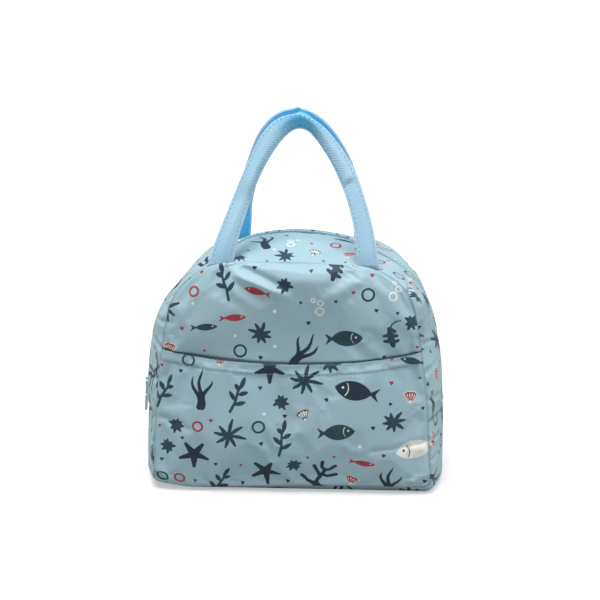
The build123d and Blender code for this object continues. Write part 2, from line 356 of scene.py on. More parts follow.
def relax(points, pressure, grow, limit):
    """Runs cloth on a coarse copy held at its edges and adds the shift it finds to points."""
    coarse = points[::RELAX_STEP, ::RELAX_STEP]
    rows, columns = coarse.shape[:2]
    ob = mesh_object("relax_copy", coarse, grid_quads(rows, columns))
    pins = np.ones((rows, columns), bool)
    pins[1:-1, 1:-1] = False
    group = ob.vertex_groups.new(name="pin")
    group.add([int(i) for i in np.flatnonzero(pins)], 1.0, "REPLACE")
    cloth = ob.modifiers.new("Cloth", "CLOTH")
    for name, value in CLOTH.items():
        setattr(cloth.settings, name, value)
    cloth.settings.uniform_pressure_force = pressure
    cloth.settings.shrink_min = -grow
    cloth.settings.effector_weights.gravity = 0.0
    cloth.collision_settings.use_collision = False
    cloth.collision_settings.use_self_collision = False
    cloth.point_cache.frame_start = 1
    cloth.point_cache.frame_end = CLOTH_FRAMES
    for number in range(1, CLOTH_FRAMES + 1):
        bpy.context.scene.frame_set(number)
    evaluated = ob.evaluated_get(bpy.context.evaluated_depsgraph_get())
    mesh = evaluated.to_mesh()
    moved = np.empty(len(mesh.vertices) * 3, np.float32)
    mesh.vertices.foreach_get("co", moved)
    shift = moved.reshape(rows, columns, 3).astype(float) / MM - coarse
    evaluated.to_mesh_clear()
    bpy.context.scene.frame_set(1)
    bpy.data.objects.remove(ob, do_unlink=True)
    # a simulation that blew up is ignored
    if not np.isfinite(shift).all():
        return points
    size = np.linalg.norm(shift, axis=-1, keepdims=True)
    shift = shift * np.minimum(1.0, limit / np.maximum(size, 1e-9))
    return points + refine(shift, RELAX_STEP) * ease(0.6, 7.0, edge_distance(points))[..., None]


# ---------------------------------------------------------------- print: signed distances
INKS = ("navy", "teal", "red", "white")


def union(*distances):
    return np.minimum.reduce(distances)


def circle(x, y, centre_x, centre_y, radius):
    return np.hypot(x - centre_x, y - centre_y) - radius


def oval(x, y, centre_x, centre_y, half_x, half_y):
    x, y = x - centre_x, y - centre_y
    size = np.hypot(x / half_x, y / half_y)
    slope = np.hypot(x / half_x**2, y / half_y**2)
    return size * (size - 1) / np.maximum(slope, 1e-6)


def bar(x, y, start, end, radius, end_radius=None):
    """Round-ended bar that may taper."""
    end_radius = radius if end_radius is None else end_radius
    (ax, ay), (bx, by) = start, end
    dx, dy = bx - ax, by - ay
    t = np.clip(((x - ax) * dx + (y - ay) * dy) / (dx * dx + dy * dy + 1e-9), 0, 1)
    return np.hypot(x - ax - t * dx, y - ay - t * dy) - (radius + (end_radius - radius) * t)


def chain(x, y, points, radii):
    return union(*(
        bar(x, y, points[i], points[i + 1], radii[i], radii[i + 1])
        for i in range(len(points) - 1)
    ))


def polygon(x, y, corners):
    square = np.full(np.shape(x), 1e9)
    sign = np.ones(np.shape(x))
    for i, (ax, ay) in enumerate(corners):
        bx, by = corners[i - 1]
        ex, ey, wx, wy = bx - ax, by - ay, x - ax, y - ay
        t = np.clip((wx * ex + wy * ey) / (ex * ex + ey * ey + 1e-12), 0, 1)
        square = np.minimum(square, (wx - ex * t) ** 2 + (wy - ey * t) ** 2)
        above, below, left = y >= ay, y < by, ex * wy > ey * wx
        crossed = (above & below & left) | (~above & ~below & ~left)
        sign = np.where(crossed, -sign, sign)
    return sign * np.sqrt(square)


def lens(x, y, half_length, half_height):
    """Pointed oval."""
    radius = (half_length * half_length + half_height * half_height) / (2 * half_height)
    offset = radius - half_height
    return np.maximum(np.hypot(x, y - offset), np.hypot(x, y + offset)) - radius


class Sheet:
    """Cloth coordinates of a sheet and the ink laid on it."""

    def __init__(self, across, along):
        self.u, self.v = np.broadcast_arrays(across, along)
        self.distance = {name: np.full(self.u.shape, 9.0) for name in INKS}

    def place(self, motif, x, y, turn=0.0, scale=1.0, flip=False, **options):
        reach = 40.0 * scale
        near = (np.abs(self.u - x) < reach) & (np.abs(self.v - y) < reach)
        if not near.any():
            return
        cos, sin = math.cos(math.radians(turn)), math.sin(math.radians(turn))
        du, dv = self.u[near] - x, self.v[near] - y
        local_x, local_y = (du * cos + dv * sin) / scale, (-du * sin + dv * cos) / scale
        if flip:
            local_x = -local_x
        part = {name: self.distance[name][near] for name in INKS}

        def ink(colour, distance):
            """Lays one colour and cuts it out of the others."""
            distance = distance * scale
            for name in INKS:
                if name == colour:
                    part[name] = np.minimum(part[name], distance)
                else:
                    part[name] = np.maximum(part[name], -distance)

        motif(ink, local_x, local_y, **options)
        for name in INKS:
            self.distance[name][near] = part[name]

    def attrs(self):
        inks = {"ink_" + name: np.clip(self.distance[name], -3, 3) for name in INKS}
        return inks | {"wu": self.u, "wv": self.v}


def heart(ink, x, y, colour):
    point = polygon(x, y, [(-1.5, 0.25), (1.5, 0.25), (0, -1.9)])
    ink(colour, union(circle(x, y, -0.75, 0.5, 0.85), circle(x, y, 0.75, 0.5, 0.85), point))


def dot(ink, x, y, colour, radius):
    ink(colour, circle(x, y, 0, 0, radius))


def burst(ink, x, y, radius=12.5, seed=0, arms=8):
    """Uneven arms that swell, then taper."""
    random = np.random.default_rng(seed)
    parts = [circle(x, y, 0, 0, 2.4)]
    for k in range(arms):
        angle = 2 * math.pi * k / arms + random.uniform(-0.14, 0.14)
        reach = radius * random.uniform(0.74, 1.02)
        knee = (reach * 0.6 * math.cos(angle), reach * 0.6 * math.sin(angle))
        tip = (reach * math.cos(angle + 0.05), reach * math.sin(angle + 0.05))
        parts.append(chain(x, y, [(0, 0), knee, tip], [1.0, 1.45, 0.75]))
    ink("teal", union(*parts))


def leaf(ink, x, y):
    random = np.random.default_rng(1)
    parts = [
        chain(x, y, [(-1, -6.5), (0, -2), (0.5, 3), (1, 7)], [1.6, 2.4, 2.2, 1.2]),
        chain(x, y, [(0.5, 6), (-1.5, 9.5), (-5, 11.5), (-8, 11.5)], [0.8, 0.55, 0.5, 0.45]),
    ]
    for side, root, width in ((-1, -4.5, 4.8), (1, -4.0, 5.4), (-1, 0.5, 4.6), (1, 1.5, 4.4),
                              (-1, 5, 3.2)):
        width = width * random.uniform(0.85, 1.15)
        tip = (side * width, root + random.uniform(-1.0, 1.6))
        parts.append(bar(x, y, (0, root + 1), tip, 1.7, 1.15))
    ink("teal", union(*parts))


def coral(ink, x, y):
    random = np.random.default_rng(2)
    parts = [
        chain(x, y, [(0, -12), (0.4, -4), (-0.6, 3), (-0.6, 7)], [1.3, 1.5, 1.4, 1.2]),
        oval(x, y, 0, -7.6, 4.2, 1.7),
    ]
    for side in (-1, 1):
        low = side * 12.2 * random.uniform(0.92, 1.08)
        high = side * 10.0 * random.uniform(0.9, 1.1)
        low_tip = (low, -5.0 if side > 0 else -6.6)
        parts += [
            chain(x, y, [(0, -8), (low * 0.55, -7.6), low_tip], [1.5, 1.2, 1.35]),
            chain(x, y, [(0, -side), (high * 0.5, 2.5 + side), (high, 7.0 + side)],
                  [1.3, 1.2, 1.4]),
            chain(x, y, [(-0.6, 6.0), (side * 3.2, 8.4), (side * 5.2, 13.5)], [1.3, 1.3, 1.4]),
        ]
    ink("navy", union(*parts))


def sprig(ink, x, y):
    parts = [chain(x, y, [(1, -14), (0, -6), (1, 2), (0, 11)], [1.0, 1.0, 0.9, 0.7])]
    for side, root, width in ((-1, -8, 7), (1, -5, 7), (-1, 0, 6), (1, 3, 5)):
        dx, dy = x - side * width * 0.5, y - (root + width * 0.35)
        angle = math.atan2(0.75, side)
        cos, sin = math.cos(angle), math.sin(angle)
        parts.append(lens(dx * cos + dy * sin, -dx * sin + dy * cos, width * 0.66, 1.6))
    parts.append(lens(y - 9, x, 5, 1.7))
    ink("teal", union(*parts))


def scallop(ink, x, y, colour="red"):
    """Fan shell: ribs that open from a pale hinge."""
    radius = 8.0
    y = y + radius * 0.5
    angle, out = np.arctan2(x, y), np.hypot(x, y)
    rim = out - radius * (1.08 + 0.05 * np.abs(np.sin(angle * 5.2)))
    fan = np.maximum(rim, (np.abs(angle) - 0.62) * np.maximum(out, 1.0))
    rib_end = 0.42 if colour == "red" else 0.8
    ribs = []
    for turn in (-0.42, -0.14, 0.14, 0.42):
        start, end = (
            (reach * math.sin(turn), reach * math.cos(turn)) for reach in (3.4, radius * 0.93)
        )
        ribs.append(bar(x, y, start, end, 0.16, rib_end))
    if colour == "red":
        ink("white", fan - 0.55)
    ink(colour, fan)
    ink("white", np.maximum(union(*ribs), fan + 0.35))
    ink("white", np.maximum(out - 2.7, fan + 0.35))


def slim_fish(ink, x, y, colour="teal"):
    size = 11.0
    tail = [(size * 0.5, 0), (size, 2.7), (size * 0.82, 0), (size, -2.7)]
    ink(colour, union(lens(x + 1, y, size * 0.75, 2.6), polygon(x, y, tail)))
    ink("white", circle(x, y, -size * 0.5, 0.4, 0.6))


def bubble(ink, x, y, colour="teal", radius=4.2):
    ink(colour, np.abs(circle(x, y, 0, 0, radius)) - 0.75)


def bubbles(ink, x, y):
    """Three open rings, rising."""
    rings = ((0, -4, 2.8, 0.5), (3.2, 1.8, 2.0, 0.45), (-0.6, 5.6, 1.4, 0.4))
    ink("white", union(*(np.abs(circle(x, y, *ring)) - half for *ring, half in rings)))


def fish(ink, x, y, colour="navy", eye="white"):
    """Pointed oval, notched tail, one gill line and an eye."""
    size, height = 17.0, 7.0
    body = lens(x + 2.5, y, size * 0.8, height)
    tail = [(size * 0.5, 0), (size * 0.98, height * 0.78), (size * 0.8, 0),
            (size * 0.98, -height * 0.78)]
    ink(colour, union(body, polygon(x, y, tail)))
    gill = np.abs(circle(x, y, -size * 0.78, 0, size * 0.42)) - 0.35
    ink(eye, np.maximum(np.maximum(gill, body + 1.4), -(x + size * 0.5)))
    ink(eye, circle(x, y, -size * 0.6, height * 0.12, 0.95))


def weed(ink, x, y):
    """Three wavy blades from one root."""
    t = np.linspace(0, 1, 9)
    radii = 1.7 * (1 - t) ** 0.6 + 0.25
    blades = []
    for lean, tall in ((-7.0, 22.0), (0.0, 28.0), (7.5, 20.0)):
        points = [(lean * q + 1.5 * math.sin(7.5 * q + lean), -14 + tall * q) for q in t]
        blades.append(chain(x, y, points, radii))
    ink("navy", union(*blades))


def starfish(ink, x, y):
    radius = 12.0
    parts = [circle(x, y, 0, 0, radius * 0.28)]
    for k in range(5):
        angle = math.radians(90 + 72 * k)
        tip = (radius * 0.86 * math.cos(angle), radius * 0.86 * math.sin(angle))
        parts.append(bar(x, y, (0, 0), tip, radius * 0.25, radius * 0.1))
    ink("navy", union(*parts))


# clearance radius, motif, options
MOTIFS = (
    (14, coral, {}), (18, fish, {}), (6, bubble, {}), (13, burst, {}), (11, slim_fish, {}),
    (9, scallop, {}), (12, starfish, {}), (11, leaf, {}), (9, scallop, dict(colour="navy")),
    (18, fish, dict(colour="white", eye="navy")), (13, sprig, {}),
    (11, slim_fish, dict(colour="red")), (8, bubbles, {}),
    (5, bubble, dict(colour="red", radius=3.4)), (7, burst, dict(radius=5.6, seed=5)),
    (16, fish, dict(colour="teal", scale=0.85)), (10, burst, dict(radius=9.0)), (15, weed, {}),
)


def scatter(sheet, u0, u1, v0, v1, seed):
    """Lays the motifs at random, then hearts and dots in the gaps."""
    random = np.random.default_rng(seed)
    done = []
    for _ in range(900):
        u, v = random.uniform(u0, u1), random.uniform(v0, v1)
        pick = (len(done) * 7 + int(random.integers(0, 3))) % len(MOTIFS)
        clear, motif, options = MOTIFS[pick]
        if all(math.hypot(u - a, v - b) > (clear + r) * 0.93 + 1.0 for a, b, r in done):
            tilt = 14 if motif in (fish, slim_fish) else 35
            turn = random.uniform(-tilt, tilt)
            flip = bool(random.integers(0, 2))
            sheet.place(motif, u, v, turn, flip=flip, **options)
            done.append((u, v, clear))
    small = []
    for _ in range(500):
        u, v = random.uniform(u0, u1), random.uniform(v0, v1)
        if any(math.hypot(u - a, v - b) <= r + 3.0 for a, b, r in done):
            continue
        if any(math.hypot(u - a, v - b) <= 13 for a, b in small):
            continue
        if random.random() < 0.75:
            turn, scale = random.uniform(-20, 20), random.uniform(0.8, 1.05)
            colour = ("teal", "navy", "red")[int(random.integers(0, 3))]
            sheet.place(heart, u, v, turn, scale, colour=colour)
        else:
            colour = ("red", "white")[int(random.integers(0, 2))]
            sheet.place(dot, u, v, colour=colour, radius=random.uniform(0.8, 1.3))
        small.append((u, v))


def printed(across, along, *area_and_seed):
    sheet = Sheet(across, along)
    scatter(sheet, *area_and_seed)
    return sheet.attrs()


# ---------------------------------------------------------------- materials
class Graph:
    """Short ways to add shader nodes; a value may be a socket or a constant."""

    def __init__(self, tree):
        self.tree = tree
        tree.nodes.clear()

    def node(self, kind, **props):
        node = self.tree.nodes.new(kind)
        for name, value in props.items():
            setattr(node, name, value)
        return node

    def put(self, socket, value):
        if isinstance(value, bpy.types.NodeSocket):
            self.tree.links.new(value, socket)
        else:
            socket.default_value = value

    def math(self, operation, *values):
        node = self.node("ShaderNodeMath", operation=operation)
        for socket, value in zip(node.inputs, values):
            self.put(socket, value)
        return node.outputs[0]

    def times(self, a, b):
        return self.math("MULTIPLY", a, b)

    def plus(self, a, b):
        return self.math("ADD", a, b)

    def centred(self, noise, span):
        """Noise moved to lie about zero and scaled."""
        return self.times(self.math("SUBTRACT", noise, 0.5), span)

    def wave(self, value, pitch):
        return self.math("SINE", self.times(value, 2 * math.pi / pitch))

    def to_unit(self, wave):
        """From -1..1 to 0..1."""
        return self.plus(self.times(wave, 0.5), 0.5)

    def weave(self, u, v, pitch):
        """Plain weave height, 0 to 1, from cloth coordinates."""
        return self.to_unit(self.times(self.wave(u, pitch), self.wave(v, pitch)))

    def attr(self, name):
        node = self.node("ShaderNodeAttribute", attribute_name=name, attribute_type="GEOMETRY")
        return node.outputs["Fac"]

    def mix(self, factor, a, b):
        node = self.node("ShaderNodeMix", data_type="RGBA")
        for index, value in ((0, factor), (6, a), (7, b)):
            self.put(node.inputs[index], value)
        return node.outputs[2]

    def tint(self, under, colour, mask, amount):
        return self.mix(self.times(mask, amount), under, colour)

    def ramp(self, value, low, high, start=0.0, end=1.0):
        node = self.node("ShaderNodeMapRange", interpolation_type="SMOOTHSTEP")
        for socket, item in zip(node.inputs, (value, low, high, start, end)):
            self.put(socket, item)
        return node.outputs[0]

    def object_coords(self):
        return self.node("ShaderNodeTexCoord").outputs["Object"]

    def noise(self, scale, detail, vector=None, roughness=0.5):
        node = self.node("ShaderNodeTexNoise")
        node.inputs["Scale"].default_value = scale
        node.inputs["Detail"].default_value = detail
        node.inputs["Roughness"].default_value = roughness
        self.put(node.inputs["Vector"], vector or self.object_coords())
        return node.outputs[0]

    def patches(self, scale, detail, low, high, start=0.0, end=1.0):
        """Noise pushed through a ramp."""
        return self.ramp(self.noise(scale, detail), low, high, start, end)

    def bump(self, height, strength, distance, normal=None):
        node = self.node("ShaderNodeBump")
        node.inputs["Strength"].default_value = strength
        node.inputs["Distance"].default_value = distance
        self.put(node.inputs["Height"], height)
        if normal is not None:
            self.put(node.inputs["Normal"], normal)
        return node.outputs[0]

    def surface(self, values):
        for name, value in values.items():
            self.put(self.shader.inputs[name], value)


def material(name):
    made = bpy.data.materials.new(name)
    made.use_nodes = True
    g = Graph(made.node_tree)
    output = g.node("ShaderNodeOutputMaterial")
    g.shader = g.node("ShaderNodeBsdfPrincipled")
    g.put(output.inputs[0], g.shader.outputs[0])
    return made, g


def rgb(*channels):
    """sRGB 0..255 to linear."""

    def linear(c):
        c /= 255
        return c / 12.92 if c <= 0.04045 else ((c + 0.055) / 1.055) ** 2.4

    return tuple(linear(c) for c in channels) + (1.0,)


def shade(colour, factors):
    return tuple(c * k for c, k in zip(colour, np.broadcast_to(factors, 3))) + (1.0,)


# ink, colour, density; later inks cover earlier ones
INK_LAYERS = (
    ("ink_white", rgb(228, 226, 216), 0.9), ("ink_teal", rgb(14, 48, 60), 0.96),
    ("ink_navy", rgb(8, 28, 50), 0.97), ("ink_red", rgb(158, 28, 40), 0.95),
)


def cloth_material():
    made, g = material("printed_cloth")
    weave = g.weave(g.attr("wu"), g.attr("wv"), pitch=0.9)
    # uneven pale ground
    colour = g.mix(g.patches(scale=14, detail=4, low=0.35, high=0.7),
                   rgb(160, 194, 203), rgb(170, 200, 210))
    colour = g.tint(colour, rgb(166, 192, 208),
                    g.patches(scale=22, detail=2, low=0.5, high=0.75), amount=0.4)
    colour = g.tint(colour, rgb(150, 180, 190),
                    g.patches(scale=55, detail=5, low=0.55, high=0.85), amount=0.3)
    colour = g.tint(colour, rgb(112, 148, 162), weave, amount=0.18)
    ragged = g.centred(g.noise(scale=700, detail=2), span=0.22)
    cover = None
    for name, pigment, density in INK_LAYERS:
        distance = g.plus(g.attr(name), ragged)
        inked = g.times(g.ramp(distance, low=-0.13, high=0.13, start=1.0, end=0.0), density)
        faded = tuple(min(1.0, c * 1.35 + 0.004) for c in pigment[:3]) + (1.0,)
        tone = g.mix(g.patches(scale=180, detail=3, low=0.3, high=0.75), pigment, faded)
        colour = g.mix(inked, colour, tone)
        cover = inked if cover is None else g.math("MAXIMUM", cover, inked)
    # thread and shadow sunk in the sewn edges
    seam = g.attr("seam")
    dashes = g.patches(scale=420, detail=1, low=0.38, high=0.62, start=0.45)
    colour = g.tint(colour, rgb(44, 66, 80),
                    g.ramp(seam, low=0.15, high=0.95, start=0.8, end=0.0), dashes)
    colour = g.mix(g.ramp(seam, low=0.6, high=3.2, start=0.22, end=0.0),
                   colour, rgb(96, 128, 140))
    # painted shadow: a dark line on the wall just above the pocket mouth
    colour = g.tint(colour, rgb(40, 62, 74), g.attr("pocket_mouth_shadow"), amount=0.8)
    colour = g.mix(g.attr("inner_side"), colour, rgb(206, 216, 220))
    worn = g.patches(scale=40, detail=3, low=0.2, high=0.8, start=0.5, end=0.62)
    soft = g.bump(g.noise(scale=240, detail=4), strength=0.16, distance=0.0004)
    g.surface({
        "Base Color": colour,
        "Roughness": g.plus(g.times(cover, -0.06), worn),
        "Specular IOR Level": 0.32,
        "Sheen Weight": 0.08,
        "Sheen Roughness": 0.5,
        "Normal": g.bump(weave, strength=0.3, distance=0.00012, normal=soft),
    })
    return made


def webbing_material():
    """Herringbone tape: wu runs across from the middle, wv along."""
    made, g = material("webbing_pale")
    # the reverse is partly the tape's own blue and partly painted light: its deeper blue stands in
    # for light shining through the tape and shade on its inner side
    face, reverse = rgb(166, 205, 225), rgb(86, 188, 240)
    u, v = g.attr("wu"), g.attr("wv")
    wobble = g.centred(g.noise(scale=60, detail=2), span=1.2)
    slant = g.times(g.math("ABSOLUTE", u), -1.15)
    rib = g.to_unit(g.wave(g.plus(g.plus(v, slant), wobble), pitch=2.3))
    yarn = g.weave(u, v, pitch=0.75)
    fuzz = g.noise(scale=700, detail=4)
    inner = g.attr("inner_side")
    base = g.mix(inner, face, reverse)
    dark = g.mix(inner, shade(face, (0.66, 0.78, 0.86)), shade(reverse, 0.8))
    grooves = g.ramp(rib, low=0.15, high=0.75, start=1.0, end=0.0)
    colour = g.tint(base, dark, grooves, amount=0.62)
    colour = g.tint(colour, dark, yarn, amount=0.12)
    colour = g.tint(colour, rgb(214, 234, 244),
                    g.patches(scale=35, detail=3, low=0.45, high=0.8), amount=0.22)
    # painted highlight: the edges of the tape are lightened, a little more on the outer edge past
    # the apex
    edge = g.ramp(g.attr("edge"), low=0.86, high=0.97)
    # painted shade: a deeper blue at the apex, where the tape turns to face down, and along the
    # inner edge of the grip
    colour = g.tint(colour, rgb(92, 186, 232), g.attr("deep"), amount=0.85)
    colour = g.tint(colour, rgb(212, 233, 244), edge, amount=0.5)
    height = g.plus(g.times(rib, 0.8), g.times(yarn, 0.35))
    soft = g.bump(fuzz, strength=0.12, distance=0.0003)
    g.surface({
        "Base Color": colour,
        # painted glow: the inner face emits its own blue, standing in for light that comes through
        # the open weave
        "Emission Color": reverse,
        "Emission Strength": g.times(inner, 0.22),
        "Roughness": g.ramp(fuzz, low=0.2, high=0.8, start=0.62, end=0.82),
        "Specular IOR Level": 0.25,
        "Sheen Weight": 0.25,
        "Sheen Roughness": 0.45,
        "Normal": g.bump(height, strength=0.55, distance=0.00035, normal=soft),
    })
    return made


def thread_material(name, colour):
    made, g = material(name)
    noise = g.noise(scale=1800, detail=3)
    twist = g.node("ShaderNodeTexWave", wave_type="BANDS", bands_direction="DIAGONAL")
    twist.inputs["Scale"].default_value = 900.0
    g.put(twist.inputs["Vector"], g.object_coords())
    g.surface({
        "Base Color": g.mix(g.ramp(noise, low=0.3, high=0.7), shade(colour, 0.78), colour),
        "Roughness": g.ramp(noise, low=0.2, high=0.8, start=0.45, end=0.65),
        "Normal": g.bump(twist.outputs[1], strength=0.4, distance=0.0001),
    })
    return made


def foil_material():
    made, g = material("foil_lining")
    cells = g.node("ShaderNodeTexVoronoi", feature="F1")
    cells.inputs["Scale"].default_value = 95.0
    coords = g.object_coords()
    g.put(cells.inputs["Vector"], coords)
    noise = g.noise(scale=60, detail=5, vector=coords, roughness=0.65)
    bright = g.ramp(noise, low=0.3, high=0.75)
    height = g.plus(g.times(cells.outputs[0], 0.7), g.times(noise, 0.9))
    g.surface({
        "Metallic": 0.45,
        "Base Color": g.mix(bright, rgb(224, 228, 231), rgb(246, 248, 249)),
        "Roughness": g.ramp(noise, low=0.25, high=0.8, start=0.3, end=0.5),
        "Normal": g.bump(height, strength=0.6, distance=0.0016),
    })
    return made


def tape_material(name, colour, pitch=0.9):
    made, g = material(name)
    u, v = g.attr("wu"), g.attr("wv")
    rib = g.to_unit(g.wave(u, pitch))
    weave = g.weave(u, v, pitch * 0.7)
    dark = shade(colour, 0.66)
    grooves = g.ramp(rib, low=0.2, high=0.8, start=1.0, end=0.0)
    ribbed = g.tint(colour, dark, grooves, amount=0.5)
    g.surface({
        "Base Color": g.tint(ribbed, dark, g.noise(scale=220, detail=3), amount=0.3),
        "Specular IOR Level": 0.25,
        "Roughness": g.patches(scale=300, detail=3, low=0.2, high=0.8, start=0.66, end=0.82),
        "Normal": g.bump(g.plus(rib, g.times(weave, 0.5)), strength=0.5, distance=0.0002),
    })
    return made


def coil_material():
    made, g = material("zip_coil")
    noise = g.noise(scale=400, detail=3)
    bright = g.ramp(noise, low=0.3, high=0.7)
    g.surface({
        "Base Color": g.mix(bright, rgb(84, 150, 184), rgb(116, 184, 214)),
        "Roughness": g.ramp(noise, low=0.2, high=0.8, start=0.32, end=0.46),
        "Specular IOR Level": 0.45,
        "Normal": g.bump(g.noise(scale=1500, detail=2), strength=0.15, distance=0.0001),
    })
    return made


def enamel_material():
    """Painted metal, worn bright on its edges."""
    made, g = material("zip_enamel")
    pointed = g.node("ShaderNodeNewGeometry").outputs["Pointiness"]
    noise = g.noise(scale=500, detail=4)
    wear = g.ramp(g.plus(pointed, g.centred(noise, span=0.06)), low=0.55, high=0.62)
    paint = g.mix(g.patches(scale=120, detail=3, low=0.3, high=0.7),
                  rgb(138, 186, 208), rgb(160, 202, 220))
    g.surface({
        "Base Color": g.mix(wear, paint, rgb(206, 208, 210)),
        "Metallic": g.times(wear, 0.95),
        "Roughness": g.ramp(noise, low=0.2, high=0.8, start=0.26, end=0.42),
        "Coat Weight": 0.3,
        "Coat Roughness": 0.15,
        "Normal": g.bump(noise, strength=0.08, distance=0.0001),
    })
    return made


# material and the slot it fills
MATERIALS = {
    "cloth": (cloth_material(), "printed_cloth"),
    "web": (webbing_material(), "webbing"),
    "foil": (foil_material(), "foil_lining"),
    "bind": (tape_material("binding_tape", rgb(92, 140, 172), pitch=0.8), "binding_tape"),
    "tape": (tape_material("zip_tape", rgb(118, 184, 214)), "zip_tape"),
    "coil": (coil_material(), "zip_teeth"),
}
enamel = enamel_material()
MATERIALS["thread"] = (thread_material("thread_pale", rgb(146, 180, 191)), "printed_cloth")
MATERIALS["thread_web"] = (thread_material("thread_web", rgb(136, 182, 208)), "webbing")


def with_front(ob):
    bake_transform(ob)


def with_tub(ob):
    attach(ob, "tub")


MOUNT = {-1: with_front, 1: with_tub}


def finish_piece(ob, key, mount, *replaced):
    """Gives a piece its material, hides the CAD parts that it replaces and mounts it."""
    made, slot = MATERIALS[key]
    ob.data.materials.append(made)
    if replaced:
        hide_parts(*replaced)
    mount(ob)


# ---------------------------------------------------------------- shapes of the sheets
def slump(points):
    """Slow unevenness: the left shoulder sits low and the base edges lift."""
    x, y, z = np.moveaxis(points, -1, 0)
    out = points.copy()
    out_x, out_z = out[..., 0], out[..., 2]
    middle = bell(y, -4, 46)
    left = ease(40, 100, -x)
    shoulder = ease(30, 70, -x) * ease(136, 172, z)
    out_x += (1.8 * left * ease(114, 150, z) + 5.8 * shoulder) * middle
    out_z -= (2.4 * left * ease(114, 152, z) + 4.4 * shoulder) * middle
    out_z -= 2.0 * ease(158, 184, z) * middle * ease(70, 20, np.abs(x + 15))
    # the front seam drops on the right and rises on the left
    front_top = ease(150, 175, z) * ease(30, 62, -y)
    out_z -= 1.6 * ease(0, 70, x) * front_top
    out_z += 1.0 * ease(0, 60, -x) * front_top * ease(90, 40, -x)
    crown = ease(160, 176, z) * ease(-74, -36, x) * ease(62, 10, x)
    out_z += (2.7 * bell(y, 0, 17) - 1.6 * ease(8, 34, y)) * crown
    # base edges
    rise = np.where(y < 0, 1.0 + 3.4 * ease(-95, 60, x), 3.0)
    out_z += rise * (1 - ease(0, 34, z)) * ease(54, 62, np.abs(y))
    out_z += 4.2 * ease(70, 106, -x) * (1 - ease(0, 26, z)) * ease(20, 60, -y)
    # lower corners
    out_x -= 1.8 * ease(50, 100, -x) * (1 - ease(0, 60, z)) * ease(0, 60, -y)
    out_x += 2.2 * ease(80, 104, x) * (1 - ease(6, 46, z)) * ease(-10, 50, -y)
    out_x -= 0.6 * ease(60, 110, x) * (1 - ease(2, 40, z)) * middle
    return out


def panel_points(x, z, y, face):
    return slump(np.stack([x, face * y, z], -1))


def panel_grid(z_top, step, inset=PANEL_INSET):
    """x, z and distance to the edge over the D-shaped panel, whole or cut off at z_top."""
    half = SEAM["half"]
    fine = np.linspace(1.0, 5.0, 6000)
    edge = boundary(fine, inset)
    run = arc_length(edge * (0.3, 1.0))
    run_end = run[-1] if z_top is None else np.interp(z_top, edge[:, 1], run)
    rows = int(round(run_end / step)) // GRID * GRID
    edge = boundary(np.interp(np.linspace(0, run_end, rows + 1), run, fine), inset)
    columns = int(round(2 * half / step)) // GRID * GRID
    across = np.linspace(-1, 1, columns + 1)
    x = edge[:, :1] * across[None]
    z = np.repeat(edge[:, 1:2], columns + 1, 1)
    if z_top is None:
        top = edge[-1, 1]
        crown = boundary([6.0], inset)[0, 1] - top
        z = z + crown * (1 - across[None] ** 2) * ease(top - 40, top, z)
    near = np.minimum(np.minimum(edge[:, :1] - np.abs(x), z - inset), 99)
    # the shoulders, the crown and the base corners
    shoulder = arcs(SEAM)[1]
    dx, dz = np.abs(x) - shoulder[0], z - shoulder[1]
    round_off = SEAM["shoulder_r"] - inset - np.hypot(dx, dz)
    near = np.where((dz > 0) & (dx > 0), np.minimum(near, round_off), near)
    under_crown = boundary([5.0], inset)[0, 1] + 0.9 - z
    near = np.minimum(near, np.where(dx < 1, under_crown, 99))
    corner = 12  # the base corners are measured from a centre this far in
    round_off = SEAM["corner"] - inset - np.hypot(np.abs(x) - (half - corner), z - corner)
    in_corner = (np.abs(x) > half - corner) & (z < corner)
    near = np.where(in_corner, np.minimum(near, round_off), near)
    return x, z, np.maximum(near, 0)


def creases(points, depth, rows):
    """Sharp gathers that run in from a side seam, from the rows of a crease table."""
    x, z = points[..., 0], points[..., 2]
    into = HALF_DEPTH - depth + 0 * z
    out = 0 * z
    for side, height, slope, deep, width, reach in rows:
        off = np.abs(z - height - slope * into)
        far = np.exp(-((into / reach) ** 1.6)) * ease(0.0, 3.0, into)
        on = ease(60, 76, side * x) * far
        out = out - deep * np.exp(-((off / width) ** 1.1)) * on
        out = out + 0.45 * deep * bell(off, 2.6 * width, 1.6 * width) * on
    return out


def puckers(run, distance, seed, size, reach, wave=17.0):
    """Small gathers beside a seam: run is measured along it and distance from it."""
    gathers = noise2(run, 3, seed, wave, 2) + 0.5 * noise2(run, 9, seed + 5, wave * 0.45, 2)
    return size * gathers * np.exp(-distance / reach) * ease(0, 1.5, distance)


def panel_sheet(layer, z_top, step, bulge, seed):
    """Front or back wall, standing proud by layer: x, z, distance to the edge and depth y."""
    x, z, edge = panel_grid(z_top, step)
    up_and_down = np.clip(1 - np.abs(2 * (z / PANEL_HEIGHT) - 1.12) ** 4.0, 0, 1)
    pillow = (1 - np.abs(x / SEAM["half"]) ** 2.8) * up_and_down
    y = HALF_DEPTH + layer + bulge * pillow * (0.7 * ease(0, 13, edge) + 0.3 * ease(0, 40, edge))
    y = y - (1.3 + layer) * edge_roll(edge, 1.7)
    run = np.where(z > 120, x + 300, z + 50 * np.sign(x))
    y = y + puckers(run, edge, seed, size=0.6, reach=8.0)
    y = y + 0.7 * noise2(x, z, seed + 40, 58.0, 2) * ease(2, 30, edge)
    return x, z, edge, y


def both_sides(left):
    """Stations from the left half, carried on over the right half, and the side of each."""
    side = np.concatenate([-np.ones(len(left)), np.ones(len(left) - 1)])
    return np.concatenate([left, left[-2::-1]]), side


def spans(*rows):
    """Stations from rows of first, last and count."""
    return np.concatenate([np.linspace(*row) for row in rows])


